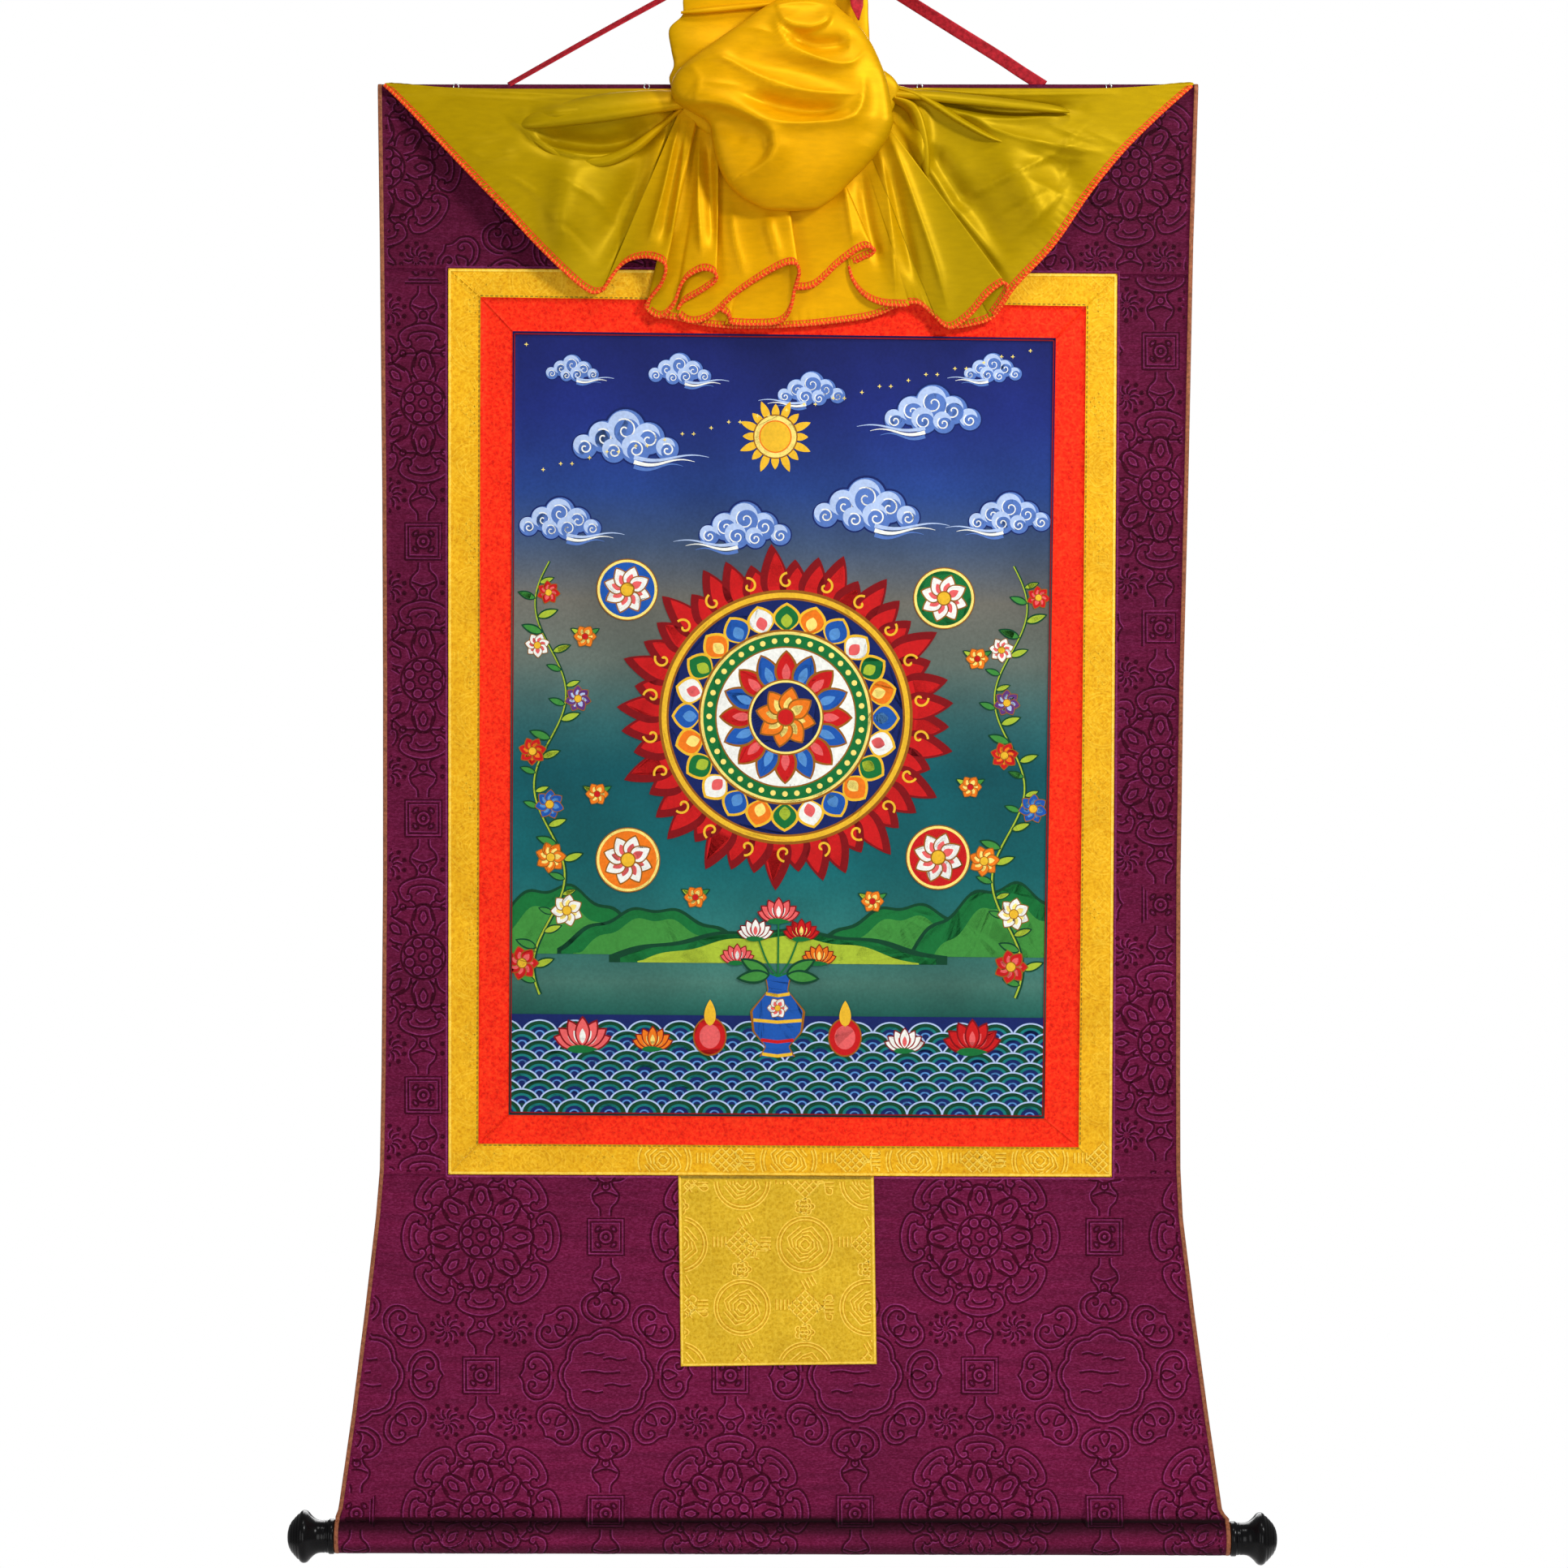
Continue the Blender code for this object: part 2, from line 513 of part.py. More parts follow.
def edge_bindings():
    for side, name in ((-1, "edge_binding_left"), (1, "edge_binding_right")):
        line = [(y, z, side_edge(TOP_EDGE_Z, side)) for y, z in top_sleeve()]
        sleeve = bottom_sleeve()
        crease_z = ROD_Z + sleeve[0][1] + CREASE_MARGIN
        line += [(0.0, z, side_edge(z, side)) for z in edge_heights(crease_z, FRONT_START_Z)[1:]]
        end_x = side_edge(ROLL_EDGE_Z, side)
        line += [(y, rod_height(end_x) + height, end_x) for y, height in sleeve]
        grid = [across(x - side * PIPING_WIDTH, x, y, z, 2) for y, z, x in line]
        add_object(name, *sheet(grid, PANEL_THICK), COPPER)


def inset_corners(corners, amount):
    """Corners moved towards the middle of the frame, or outwards when amount is negative."""
    signs = [(1, -1), (-1, -1), (-1, 1), (1, 1)]
    return [(x + sx * amount, z + sz * amount) for (x, z), (sx, sz) in zip(corners, signs)]


def mitred_strips(prefix, outer, inner, colour):
    """Four strips between two frames, each cut at a slant where it meets the next."""
    outer = inset_corners(outer, GAP / 2)
    inner = inset_corners(inner, -GAP / 2)
    names = ("top", "right", "bottom", "left")
    for k in range(4):
        after = (k + 1) % 4
        a, b, c, d = outer[k], outer[after], inner[after], inner[k]
        along = Vector((b[0] - a[0], b[1] - a[1])).normalized() * (GAP * 0.75)
        outline = [(a[0] + along.x, a[1] + along.y), (b[0] - along.x, b[1] - along.y),
                   (c[0] - along.x, c[1] - along.y), (d[0] + along.x, d[1] + along.y)]
        slab(prefix + "_" + names[k], outline, 0.0, STRIP_THICK, colour)


def picture():
    slab("picture", inset_corners(PICTURE_OUTER, GAP / 2), 0.0, STRIP_THICK, PAPER)


def door_patch():
    middle = -(PANEL_THICK / 2 + GAP + PATCH_THICK / 2)
    slab("door_patch", DOOR_PATCH, middle, PATCH_THICK, YELLOW)


def rings_to_solid(rings):
    """Closed solid through rings of equal count, closed by a flat fan at both ends."""
    count = len(rings[0])
    vertices = [p for ring in rings for p in ring]
    faces = []
    for i in range(len(rings) - 1):
        for j in range(count):
            after = (j + 1) % count
            faces.append((i * count + j, i * count + after,
                          (i + 1) * count + after, (i + 1) * count + j))
    for i in (0, len(rings) - 1):
        vertices.append(sum(rings[i], Vector()) / count)
        middle = len(vertices) - 1
        for j in range(count):
            faces.append((middle, i * count + j, i * count + (j + 1) % count))
    return vertices, faces


def ring(x, y, z, radius, sides):
    return [Vector((x, y + radius * math.cos(2 * math.pi * k / sides),
                    z + radius * math.sin(2 * math.pi * k / sides))) for k in range(sides)]


def batten():
    half = BATTEN_DEPTH / 2
    middle_y = half + GAP + PANEL_THICK / 2
    top_z = TOP_EDGE_Z - PANEL_THICK - GAP - half
    bottom_z = top_z - (BATTEN_HEIGHT - BATTEN_DEPTH)
    section = []
    for step in range(9):
        angle = math.pi * step / 8
        section.append((middle_y + half * math.cos(angle), top_z + half * math.sin(angle)))
    for step in range(9):
        angle = math.pi + math.pi * step / 8
        section.append((middle_y + half * math.cos(angle), bottom_z + half * math.sin(angle)))
    ends = (side_edge(TOP_EDGE_Z, -1) + BATTEN_INSET, side_edge(TOP_EDGE_Z, 1) - BATTEN_INSET)
    rings = [[Vector((x, y, z)) for y, z in section] for x in ends]
    add_object("batten", *rings_to_solid(rings), WOOD)


def roller_rod():
    ends = (side_edge(ROLL_EDGE_Z, -1), side_edge(ROLL_EDGE_Z, 1))
    rings = [ring(x, 0.0, rod_height(x), ROD_RADIUS, 28) for x in ends]
    add_object("roller_rod", *rings_to_solid(rings), WOOD)


def knobs():
    for side, name in ((-1, "knob_left"), (1, "knob_right")):
        end_x = side_edge(ROLL_EDGE_Z, side)
        rings = []
        for distance, radius in KNOB_PROFILE:
            x = end_x + side * distance
            rings.append(ring(x, 0.0, rod_height(end_x), radius, KNOB_SIDES))
        add_object(name, *rings_to_solid(rings), LACQUER)


def route_points(route):
    """Points on a soft curve through a route, a little over a ribbon's width apart."""
    length = sum(math.dist(a, b) for a, b in zip(route, route[1:]))
    count = max(5, round(length / RIBBON_STEP))
    return smooth_through(route, count)


def ribbon_tube(name, route, radius, colour):
    """A round tube along a soft curve through the route, as a curve with filled caps."""
    points = route_points(route)
    curve = bpy.data.curves.new(name, "CURVE")
    curve.dimensions = "3D"
    curve.bevel_depth = radius * MM
    curve.bevel_resolution = 2
    curve.use_fill_caps = True
    spline = curve.splines.new("POLY")
    spline.points.add(len(points) - 1)
    for point, place in zip(spline.points, points):
        point.co = (place[0] * MM, place[1] * MM, place[2] * MM, 1.0)
    item = bpy.data.objects.new(name, curve)
    curve.materials.append(finish(name, colour))
    bpy.context.scene.collection.objects.link(item)
    return item


def ribbon():
    radius = RIBBON_WIDTH / 2
    ribbon_tube("hanging_ribbon", RIBBON_ROUTE, radius, CRIMSON)
    ribbon_tube("hanging_ribbon_end", RIBBON_RIGHT_ROUTE, radius, CRIMSON)
    ribbon_tube("ribbon_tail", TAIL_ROUTE, radius, CRIMSON)


def ribbon_knot():
    start, end = Vector(RIBBON_ROUTE[-1]), Vector(RIBBON_RIGHT_ROUTE[0])
    line = (end - start).normalized()
    side = Vector((0.0, 1.0, 0.0))
    up = line.cross(side)
    half = (end - start).length / 2 - GAP
    middle = (start + end) / 2
    rings = []
    for step in range(9):
        t = -1.0 + 2.0 * step / 8
        radius = KNOT_END_RADIUS + KNOT_SWELL * math.sqrt(max(0.0, 1.0 - t * t))
        rings.append([middle + line * (half * t)
                      + side * (radius * math.cos(2 * math.pi * k / 16))
                      + up * (radius * math.sin(2 * math.pi * k / 16)) for k in range(16)])
    add_object("ribbon_knot", *rings_to_solid(rings), CRIMSON)


def eyelets():
    middle_y = -(PANEL_THICK / 2 + GAP + EYELET_WIRE)
    for number, x in enumerate(EYELETS_X, 1):
        vertices, faces = [], []
        around, sides = 16, 6
        for i in range(around):
            turn = 2 * math.pi * i / around
            for j in range(sides):
                tilt = 2 * math.pi * j / sides
                radius = EYELET_RADIUS + EYELET_WIRE * math.cos(tilt)
                vertices.append((x + radius * math.cos(turn),
                                 middle_y + EYELET_WIRE * math.sin(tilt),
                                 TOP_EDGE_Z - EYELET_DROP + radius * math.sin(turn)))
                a, b = i * sides, ((i + 1) % around) * sides
                faces.append((a + j, a + (j + 1) % sides, b + (j + 1) % sides, b + j))
        add_object("eyelet_" + str(number), vertices, faces, STEEL, 1.0)


def distance_to_line(x, z, line):
    best = 1e9
    for (ax, az), (bx, bz) in zip(line, line[1:]):
        dx, dz = bx - ax, bz - az
        share = ((x - ax) * dx + (z - az) * dz) / (dx * dx + dz * dz)
        share = min(1.0, max(0.0, share))
        best = min(best, math.hypot(x - ax - dx * share, z - az - dz * share))
    return best


def fold_depth(x, z, folds):
    """How far the soft folds move a point of the cloth, forward being negative."""
    total = 0.0
    for height, half_width, line in folds:
        distance = distance_to_line(x, z, line) / half_width
        if distance < 2.6:
            total += height * math.exp(-distance * distance)
    return total


def fan_grid(hem, neck, columns, rows, folds):
    """Grid of a gathered sheet: each column runs from the neck down to the hem."""
    line = smooth_through(hem, columns)
    grid = []
    for i in range(rows):
        v = (i / (rows - 1)) ** ROW_CROWDING
        row = []
        for x, z, y, share in line:
            neck_x, neck_z, neck_y = between(neck, share)
            px = neck_x + (x - neck_x) * v
            pz = neck_z + (z - neck_z) * v
            py = neck_y + (y - neck_y) * v
            py += fold_depth(px, pz, folds) * math.sin(math.pi * min(1.0, v * FOLD_FADE)) ** 0.8
            row.append(Vector((px, min(py, -PANEL_THICK / 2 - GAP - VEIL_THICK / 2), pz)))
        grid.append(row)
    return grid


def lofted(table, folds, sides):
    """Closed soft solid through level sections, with folds on its front."""
    rings = []
    for z, left, right, front, back in table:
        middle_x, half_x = (left + right) / 2, (right - left) / 2
        middle_y, half_y = (front + back) / 2, (back - front) / 2
        section = []
        for k in range(sides):
            angle = 2 * math.pi * k / sides
            cos, sin = math.cos(angle), math.sin(angle)
            x = middle_x + half_x * math.copysign(abs(cos) ** SECTION_ROUNDNESS, cos)
            y = middle_y + half_y * math.copysign(abs(sin) ** SECTION_ROUNDNESS, sin)
            if sin < 0:
                y += fold_depth(x, z, folds) * abs(sin)
            section.append(Vector((x, y, z)))
        rings.append(section)
    return rings_to_solid(rings)


def join_to(item, other, operation):
    """Adds or cuts another closed shape, which is then only a hidden guide.

    The pleats graze each other, which the exact solver leaves open, so this uses the
    manifold solver.
    """
    other.hide_render = True
    other.display_type = "WIRE"
    modifier = item.modifiers.new(other.name, "BOOLEAN")
    modifier.operation = operation
    modifier.solver = "MANIFOLD"
    modifier.object = other


def keep_main_body(item):
    """Applies the modifiers and drops the crumbs that lie between crossing folds."""
    graph = bpy.context.evaluated_depsgraph_get()
    mesh = bpy.data.meshes.new_from_object(item.evaluated_get(graph))
    item.modifiers.clear()
    item.data = mesh
    shape = bmesh.new()
    shape.from_mesh(mesh)
    waiting = set(shape.verts)
    bodies = []
    while waiting:
        reached = [waiting.pop()]
        body = set(reached)
        while reached:
            for edge in reached.pop().link_edges:
                for vertex in edge.verts:
                    if vertex in waiting:
                        waiting.discard(vertex)
                        body.add(vertex)
                        reached.append(vertex)
        bodies.append(body)
    bodies.sort(key=len)
    crumbs = [vertex for body in bodies[:-1] for vertex in body]
    bmesh.ops.delete(shape, geom=crumbs, context="VERTS")
    bmesh.ops.triangulate(shape, faces=shape.faces)
    shape.to_mesh(mesh)
    shape.free()


def ribbon_channel():
    """The way through the bunch for the ribbon, a little wider than the ribbon."""
    points = [Vector(p) for p in route_points(RIBBON_ROUTE)]
    points.append(points[-1] + (points[-1] - points[-2]))
    radius = RIBBON_WIDTH / 2 + CHANNEL_CLEARANCE
    forward = Vector((0.0, 1.0, 0.0))
    rings = []
    last = len(points) - 1
    for i, point in enumerate(points):
        along = (points[min(i + 1, last)] - points[max(i - 1, 0)]).normalized()
        up = along.cross(forward).normalized()
        across_line = up.cross(along)
        rings.append([point + across_line * (radius * math.cos(2 * math.pi * k / 16))
                      + up * (radius * math.sin(2 * math.pi * k / 16)) for k in range(16)])
    return rings_to_solid(rings)


def veil():
    skirt = fan_grid(VEIL_HEM, VEIL_NECK, SKIRT_COLUMNS, SKIRT_ROWS, VEIL_FOLDS)
    item = add_object("veil", *sheet(skirt, VEIL_THICK), SILK)
    for name, (hem, neck) in PLEATS.items():
        pleat = fan_grid(hem, neck, PLEAT_COLUMNS, PLEAT_ROWS, [])
        join_to(item, add_object(name + "_guide", *sheet(pleat, VEIL_THICK), SILK), "UNION")
    neck = add_object("neck_guide", *lofted(BUNCH_NECK, [], NECK_SIDES), SILK)
    join_to(item, neck, "UNION")
    pouch = add_object("pouch_guide", *lofted(BUNCH_POUCH, BUNCH_FOLDS, BUNCH_SIDES), SILK)
    join_to(item, pouch, "UNION")
    channel = add_object("channel_guide", *ribbon_channel(), CRIMSON)
    join_to(item, channel, "DIFFERENCE")
    keep_main_body(item)


clear_scene()
brocade_top()
brocade_sides()
brocade_bottom()
edge_bindings()
mitred_strips("yellow_strip", YELLOW_OUTER, RED_OUTER, YELLOW)
mitred_strips("red_strip", RED_OUTER, PICTURE_OUTER, RED)
picture()
door_patch()
batten()
roller_rod()
knobs()
ribbon()
ribbon_knot()
eyelets()
veil()
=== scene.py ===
import math

import bpy
import numpy as np
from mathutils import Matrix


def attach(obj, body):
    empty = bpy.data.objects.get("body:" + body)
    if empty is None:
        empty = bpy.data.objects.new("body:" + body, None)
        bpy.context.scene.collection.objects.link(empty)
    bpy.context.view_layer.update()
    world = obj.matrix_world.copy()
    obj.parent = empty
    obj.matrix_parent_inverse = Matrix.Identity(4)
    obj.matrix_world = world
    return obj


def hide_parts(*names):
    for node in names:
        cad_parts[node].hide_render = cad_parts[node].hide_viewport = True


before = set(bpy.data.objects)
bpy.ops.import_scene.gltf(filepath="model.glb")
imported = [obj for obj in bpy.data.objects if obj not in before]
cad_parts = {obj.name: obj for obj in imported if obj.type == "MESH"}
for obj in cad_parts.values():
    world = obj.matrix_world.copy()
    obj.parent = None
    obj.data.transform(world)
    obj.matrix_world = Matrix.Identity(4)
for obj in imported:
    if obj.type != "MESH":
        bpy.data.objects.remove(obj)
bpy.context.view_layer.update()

mm = 0.001

# Sizes are in millimetres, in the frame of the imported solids: X right, Z up, face to -Y


def unit(vectors):
    return vectors / np.maximum(np.linalg.norm(vectors, axis=-1, keepdims=True), 1e-9)


def runAlong(line):  # the length from the line's start to each of its points
    return np.concatenate([[0], np.cumsum(np.linalg.norm(np.diff(line, axis=0), axis=1))])


def between(table, where):  # values of a table at places in its first column
    table = np.array(table, float)
    if table[-1, 0] < table[0, 0]:
        table = table[::-1]
    where = np.asarray(where, float)
    return np.stack([np.interp(where, table[:, 0], table[:, k]) for k in range(1, table.shape[1])], -1)


def softLine(points, count, even=3):  # evenly spaced points on a soft curve through the given ones
    points = np.array(points, float)
    padded = np.vstack([points[:1], points, points[-1:]])
    t = np.linspace(0, 1, 16, endpoint=False)[:, None]
    parts = []
    for i in range(len(points) - 1):
        a, b, c, d = padded[i:i + 4]
        parts.append(0.5 * (2 * b + (c - a) * t + (2 * a - 5 * b + 4 * c - d) * t ** 2
                            + (3 * b - a - 3 * c + d) * t ** 3))
    fine = np.vstack(parts + [points[-1:]])
    run = runAlong(fine[:, :even])
    return between(np.column_stack([run, fine]), np.linspace(0, run[-1], count))


def lineDistance(x, z, line):  # distance from points to a line of (x, z), and the share along it
    best = np.full(np.shape(x), 1e9)
    along, side = np.zeros(np.shape(x)), np.zeros(np.shape(x))
    total = sum(math.dist(a, b) for a, b in zip(line, line[1:]))
    run = 0.0
    for (ax, az), (bx, bz) in zip(line, line[1:]):
        dx, dz = bx - ax, bz - az
        length = math.hypot(dx, dz)
        share = np.clip(((x - ax) * dx + (z - az) * dz) / length ** 2, 0, 1)
        away = np.hypot(x - ax - dx * share, z - az - dz * share)
        nearer = away < best
        best = np.where(nearer, away, best)
        along = np.where(nearer, (run + share * length) / total, along)
        side = np.where(nearer, np.sign(dx * (z - az) - dz * (x - ax)), side)
        run += length
    return best, along, side


def addPiece(name, points, faces, materials, slot, stands=(), faceFinish=None, inks=None, smooth=True):
    mesh = bpy.data.meshes.new(name)
    points = np.asarray(points, float) * mm
    if isinstance(faces, np.ndarray):
        mesh.vertices.add(len(points))
        mesh.vertices.foreach_set("co", points.ravel())
        sides = faces.shape[1]
        mesh.loops.add(faces.size)
        mesh.loops.foreach_set("vertex_index", faces.ravel().astype(np.int32))
        mesh.polygons.add(len(faces))
        mesh.polygons.foreach_set("loop_start", np.arange(0, faces.size, sides, dtype=np.int32))
        mesh.update(calc_edges=True)
    else:
        mesh.from_pydata([tuple(p) for p in points], [], faces)
    if smooth:
        mesh.shade_smooth()
    for material in materials:
        mesh.materials.append(material)
    if faceFinish is not None:
        mesh.polygons.foreach_set("material_index", np.asarray(faceFinish, np.int32))
    for inkName, values in (inks or {}).items():
        values = np.asarray(values, np.float32)
        if values.ndim == 1:
            layer = mesh.attributes.new(inkName, "FLOAT", "POINT")
            layer.data.foreach_set("value", values)
        else:
            layer = mesh.attributes.new(inkName, "FLOAT_COLOR", "POINT")
            layer.data.foreach_set("color", np.column_stack([values, np.ones(len(values))]).ravel())
    item = bpy.data.objects.new(name, mesh)
    bpy.context.scene.collection.objects.link(item)
    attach(item, "root")
    if stands:
        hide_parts(*stands)
    return item


def gridQuads(rows, columns, offset=0, turned=False, closed=False):
    across = columns if closed else columns - 1
    i, j = np.meshgrid(np.arange(rows - 1), np.arange(across), indexing="ij")
    a, b = i * columns + j, i * columns + (j + 1) % columns
    quads = np.stack([a, b, b + columns, a + columns], -1).reshape(-1, 4) + offset
    return quads[:, ::-1] if turned else quads


def gridNormals(grid):
    return unit(np.cross(np.gradient(grid, axis=1), np.gradient(grid, axis=0)))


def sheetOf(grid, thick):  # closed thin sheet on a grid of its middle surface
    rows, columns = grid.shape[:2]
    normal = gridNormals(grid)
    points = np.vstack([(grid + normal * thick / 2).reshape(-1, 3), (grid - normal * thick / 2).reshape(-1, 3)])
    size = rows * columns
    rim = np.concatenate([np.arange(columns), np.arange(1, rows) * columns + columns - 1,
                          (rows - 1) * columns + np.arange(columns - 2, -1, -1),
                          np.arange(rows - 2, 0, -1) * columns])
    after = np.roll(rim, -1)
    edge = np.stack([rim, rim + size, after + size, after], -1)
    faces = np.vstack([gridQuads(rows, columns, 0, True), gridQuads(rows, columns, size), edge])
    return points, faces


def ringsOf(rings):  # closed solid through rings, with a point in the middle of both ends
    rows, columns = rings.shape[:2]
    points = np.vstack([rings.reshape(-1, 3), rings[0].mean(0)[None], rings[-1].mean(0)[None]])
    quads = gridQuads(rows, columns, closed=True)
    size = rows * columns
    j = np.arange(columns)
    first = np.stack([np.full(columns, size), (j + 1) % columns, j, j], -1)
    base = (rows - 1) * columns
    last = np.stack([np.full(columns, size + 1), base + j, base + (j + 1) % columns, base + (j + 1) % columns], -1)
    faces = [tuple(q) for q in quads] + [tuple(q[:3]) for q in first] + [tuple(q[:3]) for q in last]
    return points, faces


def tubeAlong(line, radius, sides, flat):  # rings of a flattened tube
    along = unit(np.gradient(line, axis=0))
    front = unit(np.array([0.0, -1.0, 0.0]) - along * (-along[:, 1:2]))
    side = np.cross(along, front)
    turn = np.linspace(0, 2 * np.pi, sides, endpoint=False)
    return (line[:, None] + radius[:, None, None] * (side[:, None] * np.cos(turn)[None, :, None]
                                                     + front[:, None] * (flat * np.sin(turn))[None, :, None]))


def newFinish(name, colour, roughness, **sockets):
    material = bpy.data.materials.new(name)
    material.use_nodes = True
    shader = material.node_tree.nodes["Principled BSDF"]
    shader.inputs["Base Color"].default_value = (*colour, 1.0)
    shader.inputs["Roughness"].default_value = roughness
    for socket, value in sockets.items():
        shader.inputs[socket.replace("_", " ")].default_value = value
    return material, material.node_tree, shader


def addNode(tree, kind, **settings):
    node = tree.nodes.new(kind)
    for key, value in settings.items():
        if key.startswith("in_"):
            node.inputs[key[3:].replace("_", " ")].default_value = value
        else:
            setattr(node, key, value)
    return node


def noiseOf(tree, place, scale, detail=3.0, rough=0.5, stretch=None):
    source = place
    if stretch:
        mapping = addNode(tree, "ShaderNodeMapping", in_Scale=stretch)
        tree.links.new(place, mapping.inputs["Vector"])
        source = mapping.outputs["Vector"]
    noise = addNode(tree, "ShaderNodeTexNoise", in_Scale=scale, in_Detail=detail, in_Roughness=rough)
    tree.links.new(source, noise.inputs["Vector"])
    return noise.outputs["Fac"]


def rampOf(tree, source, stops):
    ramp = addNode(tree, "ShaderNodeValToRGB")
    ramp.color_ramp.elements[0].position, ramp.color_ramp.elements[0].color = stops[0][0], (*stops[0][1], 1)
    ramp.color_ramp.elements[1].position, ramp.color_ramp.elements[1].color = stops[-1][0], (*stops[-1][1], 1)
    for place, colour in stops[1:-1]:
        ramp.color_ramp.elements.new(place).color = (*colour, 1)
    tree.links.new(source, ramp.inputs["Fac"])
    return ramp.outputs["Color"]


def mixOf(tree, factor, first, second, blend="MIX"):
    mix = addNode(tree, "ShaderNodeMix", data_type="RGBA", blend_type=blend)
    for socket, value in (("Factor", factor), ("A", first), ("B", second)):
        kind = "VALUE" if socket == "Factor" else "RGBA"
        target = [s for s in mix.inputs if s.name == socket and s.type == kind][0]
        if isinstance(value, (int, float)):
            target.default_value = value
        elif isinstance(value, tuple):
            target.default_value = (*value, 1)
        else:
            tree.links.new(value, target)
    return [s for s in mix.outputs if s.type == "RGBA"][0]


def mathOf(tree, operation, first, second=0.0):
    node = addNode(tree, "ShaderNodeMath", operation=operation)
    for k, value in enumerate((first, second)):
        if isinstance(value, (int, float)):
            node.inputs[k].default_value = value
        else:
            tree.links.new(value, node.inputs[k])
    return node.outputs[0]


def bumpOf(tree, shader, heights):  # heights: (socket, strength, distance in mm)
    before = None
    for source, strength, distance in heights:
        bump = addNode(tree, "ShaderNodeBump", in_Strength=strength, in_Distance=distance * mm)
        tree.links.new(source, bump.inputs["Height"])
        if before:
            tree.links.new(before, bump.inputs["Normal"])
        before = bump.outputs["Normal"]
    tree.links.new(before, shader.inputs["Normal"])


def timesShade(tree, body, source, dark, light):  # body times a grey that follows the source
    shade = rampOf(tree, source, [(dark[0], dark[1:]), (light[0], light[1:])])
    return mixOf(tree, 1.0, body, shade, "MULTIPLY")


def grey(place, value):
    return (place, value, value, value)


def objectPlace(tree):
    return addNode(tree, "ShaderNodeTexCoord").outputs["Object"]


def weaveOf(tree, place, pitch):  # crossed threads, pitch in mm
    warp = addNode(tree, "ShaderNodeTexWave", bands_direction="X", in_Scale=1 / (pitch * mm) / 3.18)
    weft = addNode(tree, "ShaderNodeTexWave", bands_direction="Z", in_Scale=1 / (pitch * mm) / 3.18)
    tree.links.new(place, warp.inputs["Vector"])
    tree.links.new(place, weft.inputs["Vector"])
    return mathOf(tree, "MULTIPLY", warp.outputs["Fac"], weft.outputs["Fac"])


def linear(r, g, b):  # a colour seen as 0 to 255 turned into the shader's
    return tuple(((c / 255 + 0.055) / 1.055) ** 2.4 if c > 10 else c / 255 / 12.92 for c in (r, g, b))


finishes = {}


def damaskFinish(name, colour, fleck, dark):
    material, tree, shader = newFinish(name, linear(*colour), 0.7, Specular_IOR_Level=0.08)
    place = objectPlace(tree)
    threads = noiseOf(tree, place, 420.0, 2.0, 0.7, (1.0, 1.0, 2.2))
    slubs = noiseOf(tree, place, 60.0, 3.0, 0.6, (0.25, 1.0, 3.0))
    cloud = noiseOf(tree, place, 9.0, 2.0)
    body = rampOf(tree, threads, [(0.28, linear(*dark)), (0.5, linear(*colour)), (0.72, linear(*fleck))])
    body = timesShade(tree, body, slubs, grey(0.25, 0.72), grey(0.75, 1.18))
    body = timesShade(tree, body, cloud, grey(0.3, 0.86), grey(0.7, 1.1))
    apart = addNode(tree, "ShaderNodeSeparateXYZ")
    tree.links.new(place, apart.inputs[0])
    stops = [(0.1, 0.58), (0.28, 0.75), (0.72, 0.92), (0.85, 1.05), (0.9705, 1.05), (0.9711, 0.08),
             (0.9752, 0.14), (0.9795, 0.6), (0.983, 1.2), (0.9875, 0.6), (0.992, 0.42)]
    # darker towards the top; painted shade in the crevice over the rod, a painted highlight across the rod's middle and
    # painted shade under it
    topFadeAndRollShade = rampOf(tree, mathOf(tree, "MULTIPLY", apart.outputs["Z"], -0.8), [(at, (k, k, k)) for at, k in stops])
    body = mixOf(tree, 1.0, body, topFadeAndRollShade, "MULTIPLY")
    tree.links.new(body, shader.inputs["Base Color"])
    bumpOf(tree, shader, [(weaveOf(tree, place, 0.9), 0.25, 0.2), (threads, 0.35, 0.3)])
    return material


finishes["purple"] = damaskFinish("purpleDamask", (106, 18, 58), (126, 36, 80), (86, 8, 42))
# the dark damask threads, also laid as a strip of painted shade in the crevice over the rod
finishes["purpleDark"] = damaskFinish("purpleDarkThreadAndShade", (66, 0, 28), (82, 6, 42), (50, 0, 18))
# the light damask threads, also a painted highlight along the seam outside the yellow frame
finishes["purpleLight"] = damaskFinish("purpleLightThreadAndHighlight", (134, 42, 96), (152, 60, 116), (112, 28, 78))


def brocadeFinish(name, colour, light, dark):
    material, tree, shader = newFinish(name, linear(*colour), 0.6, Specular_IOR_Level=0.12)
    place = objectPlace(tree)
    fine = noiseOf(tree, place, 380.0, 3.0, 0.7)
    cells = addNode(tree, "ShaderNodeTexVoronoi", feature="DISTANCE_TO_EDGE", in_Scale=150.0)
    tree.links.new(place, cells.inputs["Vector"])
    rings = rampOf(tree, cells.outputs["Distance"], [(0.02, (1, 1, 1)), (0.12, (0, 0, 0)), (0.3, (0.35, 0.35, 0.35))])
    cloud = noiseOf(tree, place, 26.0, 3.0)
    body = rampOf(tree, fine, [(0.3, linear(*dark)), (0.5, linear(*colour)), (0.72, linear(*light))])
    body = mixOf(tree, mathOf(tree, "MULTIPLY", rings, 0.35), body, linear(*light))
    body = timesShade(tree, body, cloud, (0.3, 0.9, 0.88, 0.85), grey(0.7, 1.06))
    tree.links.new(body, shader.inputs["Base Color"])
    bumpOf(tree, shader, [(fine, 0.3, 0.25), (rings, 0.25, 0.3)])
    return material


